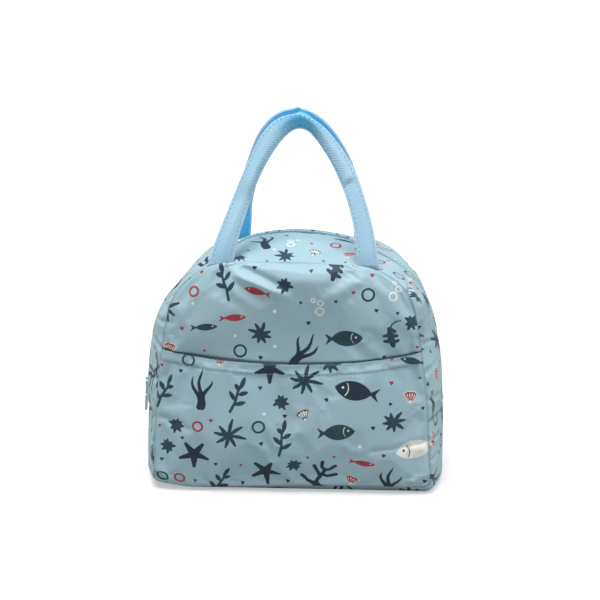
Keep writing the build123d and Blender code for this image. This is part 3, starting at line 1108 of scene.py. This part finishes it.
def arch(step):
    """Stations from the left fold up and over to the right fold."""
    parts = []
    for first, last, length in ((3.5, 4.0, 83.0), (4.0, 5.0, 62.0), (5.0, 6.0, 58.0)):
        count = max(4, int(round(length / step)))
        parts.append(np.linspace(first, last, count, endpoint=False))
    half = np.concatenate(parts + [[6.0]])
    cell = GRID // 2
    count = (len(half) - 1 + cell - 1) // cell * cell
    at = np.linspace(0, len(half) - 1, count + 1)
    return both_sides(np.interp(at, np.arange(len(half)), half))


def depth_span(face, near, far, step):
    """Rising y values between two distances from the zip line."""
    count = max(GRID, int(round((far - near) / step)) // GRID * GRID)
    y = np.linspace(near, far, count + 1)
    return -y[::-1] if face < 0 else y


def wall_point(station, side, y, inset):
    """Side wall between the seam outline at the seams and the fuller one at the zip line."""
    seam, seam_normal = sided_outline(SEAM, station, side)
    mid, mid_normal = sided_outline(MID, station, side)
    full = (1 - (np.abs(y) / HALF_DEPTH) ** 1.32)[None, :, None]
    points = seam[:, None] * (1 - full) + mid[:, None] * full
    normals = seam_normal[:, None] * (1 - full) + mid_normal[:, None] * full
    normals = normals / np.linalg.norm(normals, axis=-1, keepdims=True)
    points = points - normals * np.broadcast_to(inset, points.shape[:2])[..., None]
    deep = np.broadcast_to(y[None], points.shape[:2])
    return (
        np.stack([points[..., 0], deep, points[..., 1]], -1),
        np.stack([normals[..., 0], 0 * deep, normals[..., 1]], -1),
    )


def along(points):
    """Distance down the middle column, from the middle row."""
    run = arc_length(points[:, points.shape[1] // 2])
    return run - run[-1] / 2


def wall_sheet(station, side, y, inset):
    """Side wall with its two end edges rolled in: points, normals and distance along."""
    points, normals = wall_point(station, side, y, inset)
    run = along(points)
    roll = 1.3 * edge_roll(run[-1] - np.abs(run), 1.5)
    points = points - normals * roll[:, None, None]
    return points, normals, run[:, None] + 0 * y[None]


# ---------------------------------------------------------------- front and back panels
# start x and z, end x and z, height, width, share of the hollow above
PANEL_FOLDS = (
    (-38, 164, -6, 151, 3.6, 3.2, 0.8), (-46, 157, -24, 141, 1.5, 5.0, 0.5),
    (50, 163, 30, 150, 1.5, 4.6, 0.5), (-84, 140, -60, 118, 0.9, 7.0, 0.4),
    (70, 140, 96, 120, 0.9, 6.0, 0.5),
)


def ridge(x, z, start_x, start_z, end_x, end_z, tall, wide, hollow):
    """A soft fold along a line, with a hollow above it."""
    length = math.hypot(end_x - start_x, end_z - start_z)
    ux, uz = (end_x - start_x) / length, (end_z - start_z) / length
    t = (x - start_x) * ux + (z - start_z) * uz
    off = -(x - start_x) * uz + (z - start_z) * ux
    off = off * (1 if ux > 0 else -1)
    along_it = ease(-0.25 * length, 0.2 * length, t) * ease(1.3 * length, 0.75 * length, t)
    return tall * along_it * (bell(off, 0, wide) - hollow * bell(off, 1.7 * wide, wide))


def front_wall():
    """Relaxed front panel, its flat x and z, and its print."""
    x, z, edge, y = panel_sheet(layer=0.0, z_top=None, step=0.66, bulge=3.2, seed=3)
    # between the handles the top leans back to its seam over a soft lip, with folds below
    below = boundary([5.0])[0, 1] + 0.9 - z
    lip = bell(x, 13, 31) + 0.25 * bell(x, -30, 14)
    high = 2.8 + 4.0 * bell(x, 13, 27)
    over = np.clip(below / high, 0, 1) ** 0.9
    y = y + 7.2 * lip * over * np.where(below > high, bell(below, high, 17.0), 1.0)
    y = y + 3.6 * ease(100, 150, z) * ease(0, 15, edge)
    for fold in PANEL_FOLDS:
        y = y + ridge(x, z, *fold)
    points = relax(panel_points(x, z, y, -1), pressure=0.10, grow=0.013, limit=4.0)
    return points, x, z, printed(x, z, -99, 99, 4, 170, 31)


def back_wall():
    x, z, _, y = panel_sheet(layer=0.0, z_top=None, step=0.75, bulge=6.0, seed=13)
    points = panel_points(x, z, y, 1)[:, ::-1]
    points = relax(points, pressure=0.25, grow=0.012, limit=4.5)
    ink = printed(-x[:, ::-1], z, -98, 98, 4, 170, 57)
    ob = cloth_shell("back_panel_cloth", points, 0.7, ink)
    finish_piece(ob, "cloth", with_tub, "back_panel_upper", "back_panel_lower",
                 "back_foam_upper", "back_foam_lower")


# ---------------------------------------------------------------- slip pocket
SQUEEZE_Z = 60  # pocket rows above this are squeezed towards the sagging mouth
HEM = 7.9  # from the pocket mouth down to its stitching
# start x and z, end x and z, height, width
POCKET_FOLDS = (
    (101, 41, 60, 36, -1.4, 1.8), (60, 36, 48, 30, -0.7, 2.4), (-100, 58, -74, 50, -0.8, 2.6),
    (-46, 96, -48, 66, -0.5, 4.5), (-10, 94, -8, 72, -0.4, 5.0),
)


def pocket_mouth(x):
    """Height of the sagging mouth."""
    return 99.6 + 8.6 * (x / 92.0) ** 2


def pocket():
    flat_x, flat_z, edge, y = panel_sheet(layer=1.5, z_top=120.0, step=0.58, bulge=4.6, seed=23)
    mouth = pocket_mouth(flat_x[-1:])
    share = (mouth - SQUEEZE_Z) / (flat_z[-1, 0] - SQUEEZE_Z)
    z = np.where(flat_z > SQUEEZE_Z, SQUEEZE_Z + (flat_z - SQUEEZE_Z) * share, flat_z)
    x = flat_x.copy()
    side = boundary(np.linspace(3.2, 5.0, 400))
    for i in np.flatnonzero(flat_z[:, 0] > SQUEEZE_Z):
        half = np.interp(z[i, 0], side[:, 1], side[:, 0])
        x[i] = flat_x[i] / max(abs(flat_x[i, 0]), 1e-6) * half
    drop = mouth - z
    # the mouth gapes and its hem stands proud down to a stitched ditch
    y = y + 0.8 * np.exp(-drop / 26.0) * (1 - np.abs(x / 100.0) ** 2.2).clip(0, 1)
    y = y + 0.6 * ease(9.0, 7.2, drop) * ease(0.0, 1.0, drop)
    y = y - 0.36 * bell(drop, HEM, 0.9)
    y = y + 0.9 * noise2(x, z, 77, 46.0, 3) * ease(3, 22, edge) * ease(0, 14, drop)
    for ax, az, bx, bz, tall, wide in POCKET_FOLDS:
        off = bar(x, z, (ax, az), (bx, bz), 0.0)
        # inside the line's rounding error off may be just below zero
        y = y + tall * np.exp(-((off / wide) ** 1.3)) * ease(0.5, 4, edge)
    points = relax(panel_points(x, z, y, -1), pressure=0.3, grow=0.014, limit=4.0)
    ob = cloth_shell("front_pocket_cloth", points, 0.8, printed(x, z, -99, 99, 4, 106, 47))
    finish_piece(ob, "cloth", with_front, "front_pocket_upper", "front_pocket_lower")

    normals = grid_normals(points)
    path, path_normals = [], []
    for j in range(2, points.shape[1] - 2, 2):
        path.append(sample(-HEM, -drop[:, j], points[:, j]))
        path_normals.append(normals[np.argmin(np.abs(drop[:, j] - HEM)), j])
    row = stitches("pocket_hem_stitches_7", np.array(path), np.array(path_normals),
                   pitch=3.3, length=2.5, radius=0.27, lift=0.12)
    finish_piece(row, "thread", with_front)
    return points


def press_behind(points, x, z, cover):
    """Moves the wall back, below the pocket mouth, so that it never shows through the pocket."""
    cell, first_x, first_z = 2.0, -110, -4
    shape = (111, 68)
    rearmost = np.full(shape, -1e9)
    i = np.clip(np.round((cover[..., 0] - first_x) / cell).astype(int), 0, shape[0] - 1)
    j = np.clip(np.round((cover[..., 2] - first_z) / cell).astype(int), 0, shape[1] - 1)
    np.maximum.at(rearmost, (i.ravel(), j.ravel()), cover[..., 1].ravel())
    for _ in range(2):
        padded = np.pad(rearmost, 1, constant_values=-1e9)
        rearmost = np.max(
            [padded[a : a + shape[0], b : b + shape[1]] for a in range(3) for b in range(3)],
            axis=0,
        )
    at_x = np.clip((points[..., 0] - first_x) / cell, 0, shape[0] - 1.001)
    at_z = np.clip((points[..., 2] - first_z) / cell, 0, shape[1] - 1.001)
    i, j = at_x.astype(int), at_z.astype(int)
    tx, tz = at_x - i, at_z - j
    low = rearmost[i, j] * (1 - tx) + rearmost[i + 1, j] * tx
    high = rearmost[i, j + 1] * (1 - tx) + rearmost[i + 1, j + 1] * tx
    wall = low * (1 - tz) + high * tz
    mouth = pocket_mouth(x)
    gap = 1.1
    push = np.maximum(wall + gap - points[..., 1], 0) * ease(mouth + 1.5, mouth - 1.5, z)
    points[..., 1] += push


def front_panel(points, x, z, ink, cover):
    press_behind(points, x, z, cover)
    mouth = pocket_mouth(x)
    # painted shadow: a dark line where the wall goes down behind the pocket
    above = np.maximum(z - mouth - 0.1, 0)
    ink["pocket_mouth_shadow"] = bell(above, 0, 0.75) * ease(mouth - 6, mouth - 3, z)
    ob = cloth_shell("front_panel_cloth", points, 0.7, ink)
    finish_piece(ob, "cloth", with_front, "front_panel_upper", "front_panel_lower",
                 "front_foam_upper", "front_foam_lower")


# ---------------------------------------------------------------- zip
# Crease tables: side, height, slope, depth, width, reach from the seam
STRIP_CREASES = (
    (1, 127, 0.05, 2.6, 1.3, 22), (1, 114, -0.12, 2.8, 1.2, 26), (1, 150, 0.25, 2.6, 1.5, 18),
    (1, 124, 0.02, 1.0, 1.2, 15), (1, 92, 0.1, 1.2, 1.5, 20), (-1, 128, -0.1, 1.6, 1.5, 20),
    (-1, 108, 0.1, 1.5, 1.4, 24), (-1, 146, 0.2, 1.5, 1.6, 18), (-1, 84, 0.05, 1.2, 1.6, 22),
    (1, 72, -0.05, 1.2, 1.5, 26),
)
GUSSET_CREASES = (
    (1, 41, -0.06, 2.2, 1.3, 26), (-1, 36, 0.08, 1.6, 1.4, 24),
    (1, 25, 0.1, 1.1, 1.5, 18), (-1, 20, -0.1, 1.0, 1.4, 18),
)
# distance along from the crown, width, depth
STRIP_HOLLOWS = ((-62, 9, 1.2), (66, 8, 1.4), (-30, 14, 0.7), (28, 12, 0.8))


def zip_strip(face, tag):
    """Arched cloth strip between the zip and a panel, and its topstitching."""
    step = 0.68
    y = depth_span(face, ZIP_EDGE, CLOTH_END, step)
    depth = np.abs(y)[None]
    inset = 2.3 * edge_roll(CLOTH_END - depth, 3.0) + 0.9 * edge_roll(depth - ZIP_EDGE, 0.8)
    points, normals, run = wall_sheet(*arch(step), y, inset)
    into = HALF_DEPTH - depth + 0 * run
    # soft crowning beside the zip, a sewn ditch under the topstitching, gathers at the seam
    lift = (2.4 if face < 0 else 1.2) * bell(depth, 30, 16.0) - 0.45 * bell(depth, 9.6, 1.1)
    lift = lift + puckers(run, into, 101 + face, size=0.9, reach=11.0, wave=21.0)
    rumple = ease(4, 20, depth) * ease(62, 48, depth)
    lift = lift + 0.8 * noise2(run, depth, 140 + face, 44.0, 3) * rumple
    rows = STRIP_CREASES
    if face > 0:
        rows = [
            (side, height + 7 * math.sin(3 * height), slope, deep * 0.9, width, reach)
            for side, height, slope, deep, width, reach in rows
        ]
    lift = lift + creases(points, depth, rows)
    # the right shoulder folds over and hangs in under itself
    hang = ease(60, 76, points[..., 0]) * ease(0, 4, into) * bell(into, 0, 30.0)
    height = points[..., 2]
    lift = lift + hang * (3.2 * bell(height, 140, 8.0) - 4.4 * bell(height, 113, 12.0))
    # hollows between the zip and the seam
    for at, width, deep in STRIP_HOLLOWS:
        middle = at + 0.3 * (depth - 40)
        hollow = bell(run, middle, width) * ease(18, 50, depth) * ease(62.5, 56, depth)
        lift = lift - deep * hollow
    points = slump(points + normals * lift[..., None])
    points = relax(points, pressure=0.2, grow=0.010, limit=3.5)
    end = run[-1, 0]
    print_area = (-60, -5, 71) if face < 0 else (5, 60, 83)
    grid, ink = outward(points, printed(run, y, -end, end, *print_area), (0, 0, 1))
    strip = cloth_shell(f"{tag}_zip_strip_cloth", grid, 0.7, ink)
    finish_piece(strip, "cloth", MOUNT[face], f"{tag}_zip_strip", f"{tag}_zip_strip_foam")

    stitch_line = 6.6  # from the zip line
    j = int(np.argmin(np.abs(np.abs(y) - stitch_line)))
    normals = grid_normals(points)
    if normals[normals.shape[0] // 2, j][2] < 0:
        normals = -normals
    row = stitches(f"{tag}_zip_topstitch", points[::2, j], normals[::2, j],
                   pitch=3.2, length=2.4, radius=0.25, lift=0.1)
    finish_piece(row, "thread", MOUNT[face])


def zip_tape(face, tag):
    """Tape under the folded edge."""
    step = 1.6
    y = depth_span(face, 0.9, 13.5, step)
    points = slump(wall_point(*arch(step), y, 1.7)[0])
    attrs = {"wu": y[None], "wv": along(points)[:, None]}
    grid, attrs = outward(points, attrs, (0, 0, 1))
    tape = shell(f"{tag}_zip_tape_weave", grid, 0.5, attrs)
    finish_piece(tape, "tape", MOUNT[face], f"{tag}_zip_tape")


COIL_PITCH = 1.35
# one loop of the coil: away from the zip line, outward, along the zip, thread radius
COIL_LOOP = np.array([
    (2.7, -0.7, -0.30, 0.34), (1.9, 0.35, -0.22, 0.36), (0.9, 0.62, -0.1, 0.38),
    (-0.15, 0.45, 0.0, 0.46), (-0.25, -0.05, 0.08, 0.44), (0.9, -0.45, 0.2, 0.36),
    (2.7, -0.8, 0.30, 0.34),
])


def zip_coil(face, tag):
    """One loop for each tooth; the back teeth sit half a pitch along."""
    line, normals = wall_point(*arch(0.6), np.array([0.0]), 1.0)
    line, normals = slump(line[:, 0]), normals[:, 0]
    run = arc_length(line)
    start = 3.4 + (COIL_PITCH / 2 if face > 0 else 0)
    at = np.arange(start, run[-1] - 3.0, COIL_PITCH)
    middle = sample(at, run, line)[:, None]
    out = unit(sample(at, run, normals))[:, None]
    forward = unit(sample(at, run, np.gradient(line, axis=0)))[:, None]
    away = np.array([0.0, float(face), 0.0])
    centres = (
        middle
        + COIL_LOOP[None, :, 0, None] * away
        + COIL_LOOP[None, :, 1, None] * out
        + COIL_LOOP[None, :, 2, None] * forward
    )
    tangent = unit(np.gradient(centres, axis=1))
    forward = np.broadcast_to(forward, tangent.shape)
    across = unit(np.cross(tangent, forward))
    points, quads = tubes(centres, forward, across, COIL_LOOP[:, 3], sides=5)
    coil = mesh_object(f"{tag}_zip_coil", points, quads)
    finish_piece(coil, "coil", MOUNT[face], f"{tag}_zip_teeth")


# ---------------------------------------------------------------- lower gusset and base
def lower_gusset():
    """One piece of cloth down the left side, under the bag and up the right side."""
    step = 0.72
    fine = np.linspace(0.0, 3.5, 4000)
    length = arc_length(outline(SEAM, fine)[0])
    cell = GRID // 2
    count = int(round(length[-1] / step)) // cell * cell
    half = np.interp(np.linspace(0, length[-1], count + 1), length, fine)
    rows = int(round(2 * CLOTH_END / step)) // GRID * GRID
    y = np.linspace(-CLOTH_END, CLOTH_END, rows + 1)
    depth = np.abs(y)[None]
    inset = 1.9 * edge_roll(CLOTH_END - depth, 2.4)
    points, normals, run = wall_sheet(*both_sides(half[::-1]), y, inset)
    side_wall = ease(96, 118, np.abs(run))
    lift = 2.0 * bell(depth, 30, 18.0) * side_wall
    gathers = puckers(run, HALF_DEPTH - depth, 201, size=0.7, reach=9.0, wave=19.0)
    lift = lift + gathers * side_wall
    rumple = side_wall * ease(62, 46, depth)
    lift = lift + 0.9 * noise2(run, y[None], 210, 40.0, 3) * rumple
    lift = lift + creases(points, depth, GUSSET_CREASES)
    points = points + normals * lift[..., None]
    # the base rests on the ground
    points[..., 2] = np.maximum(points[..., 2], 0.0)
    ink = printed(run, y, run[0, 0], run[-1, 0], -60, 60, 97)
    grid, ink = outward(slump(points), ink, (0, 0, -1))
    gusset = cloth_shell("lower_gusset_cloth", grid, 0.8, ink)
    finish_piece(gusset, "cloth", with_front, "lower_gusset", "lower_gusset_foam")


# ---------------------------------------------------------------- foil lining
LINING_STEP = 2.6


def foil_sheet(name, points, seed, mount, *replaced):
    """Crinkled foil."""
    i, j = np.indices(points.shape[:2]) * LINING_STEP
    crinkle = noise2(i, j, seed, 9.0, 3) + 0.6 * np.abs(noise2(i, j, seed + 3, 21.0, 2))
    points = points + grid_normals(points) * (0.5 * crinkle)[..., None]
    finish_piece(shell(name, points, 0.3, {}), "foil", mount, *replaced)


def panel_lining(face, tag):
    x, z, edge = panel_grid(None, LINING_STEP, inset=6.0)
    y = HALF_DEPTH - 4.6 + 2.5 * (1 - np.abs(x / SEAM["half"]) ** 2.6) * ease(0, 30, edge)
    points = panel_points(x, np.maximum(z, 5.4), y, face)
    points = points if face > 0 else points[:, ::-1]
    foil_sheet(f"{tag}_lining_foil", points, 300 + face, MOUNT[face],
               f"{tag}_lining_upper", f"{tag}_lining_lower")


def strip_lining(face, tag):
    y = depth_span(face, 12.5, LINING_END, LINING_STEP)
    points = slump(wall_point(*arch(LINING_STEP), y, 4.7)[0])
    grid, _ = outward(points, {}, (0, 0, -1))
    foil_sheet(f"{tag}_strip_foil", grid, 320 + face, MOUNT[face], f"{tag}_zip_strip_lining")


# section of the binding: inset from the seam outline, distance from the zip line
BINDING = ((5.3, 58.2), (5.2, 52.0), (5.5, 50.2), (6.2, 49.8), (6.9, 50.3), (7.1, 52.0),
           (7.0, 57.4))


def seam_binding(face, tag):
    """Tape folded over the raw edges of the seam inside the bag, all the way round."""
    half = spans((0.0, 1.0, 24), (1.05, 2.0, 8), (2.1, 3.0, 6), (3.1, 4.0, 40),
                 (4.05, 5.0, 22), (5.1, 6.0, 14))
    station = np.concatenate([half, half[-2:0:-1]])
    side = np.concatenate([np.ones(len(half)), -np.ones(len(half) - 2)])
    seam, normals = sided_outline(SEAM, station, side)
    count, width = len(station), len(BINDING)
    rings = np.empty((count, width, 3))
    for k, (inset, depth) in enumerate(BINDING):
        rings[:, k, 0::2] = seam - normals * inset
        rings[:, k, 1] = face * depth
    i, j = np.meshgrid(np.arange(count), np.arange(width), indexing="ij")
    here, there, beside = i * width, ((i + 1) % count) * width, (j + 1) % width
    quads = np.stack([here + j, here + beside, there + beside, there + j], -1).reshape(-1, 4)
    if face > 0:
        quads = quads[:, ::-1]
    ob = mesh_object(f"{tag}_seam_binding", slump(rings), quads)
    attribute(ob, "wu", np.repeat(arc_length(seam), width))
    attribute(ob, "wv", np.tile(np.arange(width) * 1.6, count))
    finish_piece(ob, "bind", MOUNT[face],
                 f"{tag}_seam_binding_upper", f"{tag}_seam_binding_lower")


def lower_lining():
    half = spans((0.0, 1.0, 34), (1.06, 2.0, 12), (2.1, 3.0, 7), (3.1, 3.5, 7))
    y = np.linspace(-LINING_END, LINING_END, 45)
    points = slump(wall_point(*both_sides(half[::-1]), y, 4.9)[0])
    grid, _ = outward(points, {}, (0, 0, 1))
    foil_sheet("lower_gusset_foil", grid, 341, with_front, "lower_gusset_lining")


# ---------------------------------------------------------------- webbing handles
LEAN = math.radians(28.0)  # inward from upright
HANDLE_Y = 64.2
HANDLE_Z = 174.6
# edges of the front handle in its own plane: x, height above the foot
OUTER_EDGE = np.array([
    (-59.5, 1.0), (-53.0, 19.0), (-47.1, 36.5), (-40.9, 55.0), (-35.0, 71.5), (-29.6, 85.5),
    (-24.2, 96.5), (-17.0, 106.0), (-8.0, 111.8), (2.5, 113.5), (12.0, 110.4), (20.8, 103.6),
    (28.3, 95.3), (34.8, 86.8), (40.4, 78.0), (45.4, 68.0), (50.2, 55.0), (54.0, 43.0),
    (57.6, 29.5), (60.4, 17.0), (62.8, 1.0),
])
INNER_EDGE = np.array([
    (-41.6, 1.0), (-37.6, 19.0), (-34.0, 33.0), (-30.6, 45.0), (-27.8, 54.5), (-24.2, 64.8),
    (-18.8, 76.8), (-12.4, 87.8), (-5.8, 96.4), (1.0, 101.2), (5.4, 101.4), (11.2, 98.0),
    (18.6, 89.2), (26.4, 77.3), (32.6, 64.6), (37.9, 50.8), (41.9, 37.3), (44.9, 24.0),
    (46.7, 11.0), (47.6, 1.0),
])


def resample(points, count):
    """Even spacing, then smoothing with the ends held."""
    run = arc_length(points)
    out = sample(np.linspace(0, run[-1], count), run, points)
    for _ in range(int(count * 0.12)):
        out[1:-1] = 0.25 * out[:-2] + 0.5 * out[1:-1] + 0.25 * out[2:]
    return out


def handle_edges(face, count):
    edges = outer, _ = resample(OUTER_EDGE, count), resample(INNER_EDGE, count)
    if face < 0:
        outer[:, 0] -= 0.8 * ease(0, -30, outer[:, 0])
        for edge in edges:
            edge[:, 1] += 1.4 * ease(70, 108, edge[:, 1])
        return edges
    # the handle behind is a little longer
    for edge in edges:
        up = edge[:, 1].copy()
        left = -2.4 + 3.2 * ease(34, 0, up) - 1.4 * ease(15, 45, up) * ease(112, 84, up)
        right = -2.4 - 1.8 * ease(95, 55, up) + 1.6 * ease(80, 105, up)
        edge[:, 0] += np.where(edge[:, 0] < 0, left, right)
        edge[:, 1] += 4.6 * ease(30, 110, up)
    return edges


def handle(face, tag):
    count, across_count = 241, 21
    outer, inner = handle_edges(face, count)
    q = np.linspace(-1, 1, across_count)[None]  # across the tape: inner edge to outer edge
    centre = (outer + inner) / 2
    s = arc_length(centre)[:, None]  # along the tape
    total = s[-1, 0]
    flat = centre[:, None] + (outer - inner)[:, None] / 2 * q[..., None]
    # the tape curls across its width, most in the grip
    apex = bell(s, total * 0.515, 17.0)
    grip = ease(46, 62, s) * ease(total - 58, total - 64, s)
    out = (1.0 + 2.2 * grip + 1.5 * apex) * (1 - np.abs(q) ** 1.7) - 0.9
    out = out - bell(s, total * 0.505, 2.2) * 1.1 * bell(q, -0.1, 0.7)
    # a lengthwise fold climbs the left strand and runs out over the grip
    fold = -0.1 - 0.35 * ease(10, 70, s)
    out = out + 1.7 * ((0.9 - 1.5 * np.abs(q - fold)) * ease(total * 0.47, total * 0.3, s))
    out = out - 1.1 * bell(s, total - 61, 1.6) * bell(q, -0.2, 0.55)
    out = out + 0.25 * noise2(s, 8 * q, 400 + face, 16.0, 2)
    pinch = bell(s, total * 0.505, 1.5)
    up = flat[..., 1] + pinch * np.clip(q, 0, 1) ** 3 * 1.7
    # the handle leans in over the top and its ends run down into the seam
    up_axis = np.array([0.0, math.sin(LEAN), math.cos(LEAN)])
    out_axis = np.array([0.0, -math.cos(LEAN), math.sin(LEAN)])
    points = np.zeros((count, across_count, 3)) + np.array([0.0, -HANDLE_Y, HANDLE_Z])
    points[..., 0] += flat[..., 0]
    points += up[..., None] * up_axis + out[..., None] * out_axis
    down = np.minimum(s, total - s)
    foot = np.exp(-down / 7.0)
    points[..., 2] -= 5.5 * foot
    points[..., 1] += (2.2 + 0.4 * out) * foot * 0.9
    points[..., 1] -= apex * q * 5.6
    if face > 0:
        points[..., 1] *= -1
    width = np.linalg.norm(outer - inner, axis=1)[:, None]
    attrs = {
        "wu": q * width / 2,
        "wv": down,
        # edge: position across the tape, plus a painted highlight on the outer edge past the apex
        "edge": np.abs(q) + 0.13 * bell(s, total * 0.56, 11.0) * (q > 0),
        # deep: painted shade at the apex and along the inner edge of the grip
        "deep": bell(s, total * 0.508, 15.0) * ease(1.0, 0.5, q) * 1.1
        + 0.2 * grip * ease(-0.55, -0.8, q),
    }
    grid, attrs = outward(points, attrs, (0, face, 0), column=count // 4)

    def mount(ob):
        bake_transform(ob)

    tape = shell(f"{tag}_handle_webbing", grid, 1.7, attrs)
    finish_piece(tape, "web", mount, f"{tag}_handle", f"{tag}_handle_tails")
    normals = grid_normals(grid)
    for letter, place in (("a", 0.72), ("b", -0.72)):
        j = int(round((place + 1) / 2 * (across_count - 1)))
        row = stitches(f"{tag}_handle_stitches_{letter}", grid[j, 4:-4], normals[j, 4:-4],
                       pitch=3.6, length=2.2, radius=0.3, lift=0.05)
        finish_piece(row, "thread_web", mount)


# ---------------------------------------------------------------- build the bag
wall_parts = front_wall()
back_wall()
front_panel(*wall_parts, pocket())
for face_and_tag in SIDES:
    zip_strip(*face_and_tag)
    zip_tape(*face_and_tag)
    zip_coil(*face_and_tag)
lower_gusset()
for face_and_tag in SIDES:
    panel_lining(*face_and_tag)
    strip_lining(*face_and_tag)
    seam_binding(*face_and_tag)
lower_lining()
for face_and_tag in SIDES:
    handle(*face_and_tag)

# CAD pieces that keep their shape
for piece in ("zip_slider", "zip_pull", "zip_end_stops"):
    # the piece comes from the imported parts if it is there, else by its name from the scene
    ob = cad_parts[piece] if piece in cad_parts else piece
    if isinstance(ob, str):
        ob = bpy.data.objects[ob]
    ob.data.materials.clear()
    ob.data.materials.append(enamel)


# ---------------------------------------------------------------- floor, light and camera
def floor():
    """Flat sheet that glows a little to the camera and is darker to all other rays."""
    lines = np.linspace(-3000, 3000, 41)
    x, y = np.meshgrid(lines, lines, indexing="ij")
    points = np.stack([x, y, np.full_like(x, -0.05)], -1)
    ob = mesh_object("floor", points, grid_quads(len(lines), len(lines), flip=True))
    made, g = material("floor_paper")
    seen = g.node("ShaderNodeLightPath").outputs["Is Camera Ray"]
    paper = g.mix(g.patches(scale=3, detail=2, low=0.3, high=0.7),
                  (0.54, 0.54, 0.54, 1), (0.56, 0.56, 0.56, 1))
    g.surface({
        "Base Color": g.mix(seen, (0.42, 0.42, 0.42, 1), paper),
        "Emission Color": (1.0, 1.0, 1.0, 1.0),
        "Emission Strength": g.times(seen, 0.42),
        "Roughness": 0.9,
        "Specular IOR Level": 0.05,
    })
    ob.data.materials.append(made)


def studio_world(lighting, seen):
    """Even light, with one strength for lighting and another where the camera sees it."""
    world = bpy.data.worlds.new("studio")
    world.use_nodes = True
    g = Graph(world.node_tree)
    output = g.node("ShaderNodeOutputWorld")
    background = g.node("ShaderNodeBackground")
    path = g.node("ShaderNodeLightPath")
    background.inputs[0].default_value = (0.97, 0.985, 1.0, 1)
    strength = g.node("ShaderNodeMapRange")
    g.put(strength.inputs[0], path.outputs["Is Camera Ray"])
    g.put(strength.inputs[3], lighting)
    g.put(strength.inputs[4], seen)
    g.put(background.inputs[1], strength.outputs[0])
    g.put(output.inputs[0], background.outputs[0])
    bpy.context.scene.world = world


def sun(name, towards, strength, spread, colour):
    """Light that comes from the direction given; spread is in degrees."""
    light = bpy.data.lights.new(name, "SUN")
    light.energy = strength
    light.angle = math.radians(spread)
    light.color = colour
    ob = bpy.data.objects.new(name, light)
    bpy.context.scene.collection.objects.link(ob)
    ob.rotation_euler = Vector(towards).to_track_quat("Z", "Y").to_euler()


def camera(target, turn, tilt, distance, lens_length):
    """Looks at target (metres) from the front, turned to the right and raised, in degrees."""
    data = bpy.data.cameras.new("camera")
    ob = bpy.data.objects.new("camera", data)
    bpy.context.scene.collection.objects.link(ob)
    bpy.context.scene.camera = ob
    data.sensor_width = 36.0
    data.lens = lens_length
    data.clip_end = 20
    turn, tilt = math.radians(turn), math.radians(tilt)
    back = Vector((
        math.sin(turn) * math.cos(tilt), -math.cos(turn) * math.cos(tilt), math.sin(tilt),
    ))
    ob.location = Vector(target) + back * distance
    ob.rotation_euler = (-back).to_track_quat("-Z", "Y").to_euler()


floor()
studio_world(lighting=0.36, seen=1.05)
sun("key_top", towards=(-0.08, -0.17, 1.0), strength=3.4, spread=40.0, colour=(1.0, 0.985, 0.98))
sun("side_right", towards=(1.0, -0.35, 0.5), strength=0.55, spread=60.0, colour=(1.0, 1.0, 1.0))
camera(target=(0.003, 0.0, 0.1325), turn=3.33, tilt=12.0, distance=0.985, lens_length=77.0)
bpy.context.scene.view_settings.view_transform = "Standard"
bpy.context.scene.view_settings.look = "None"
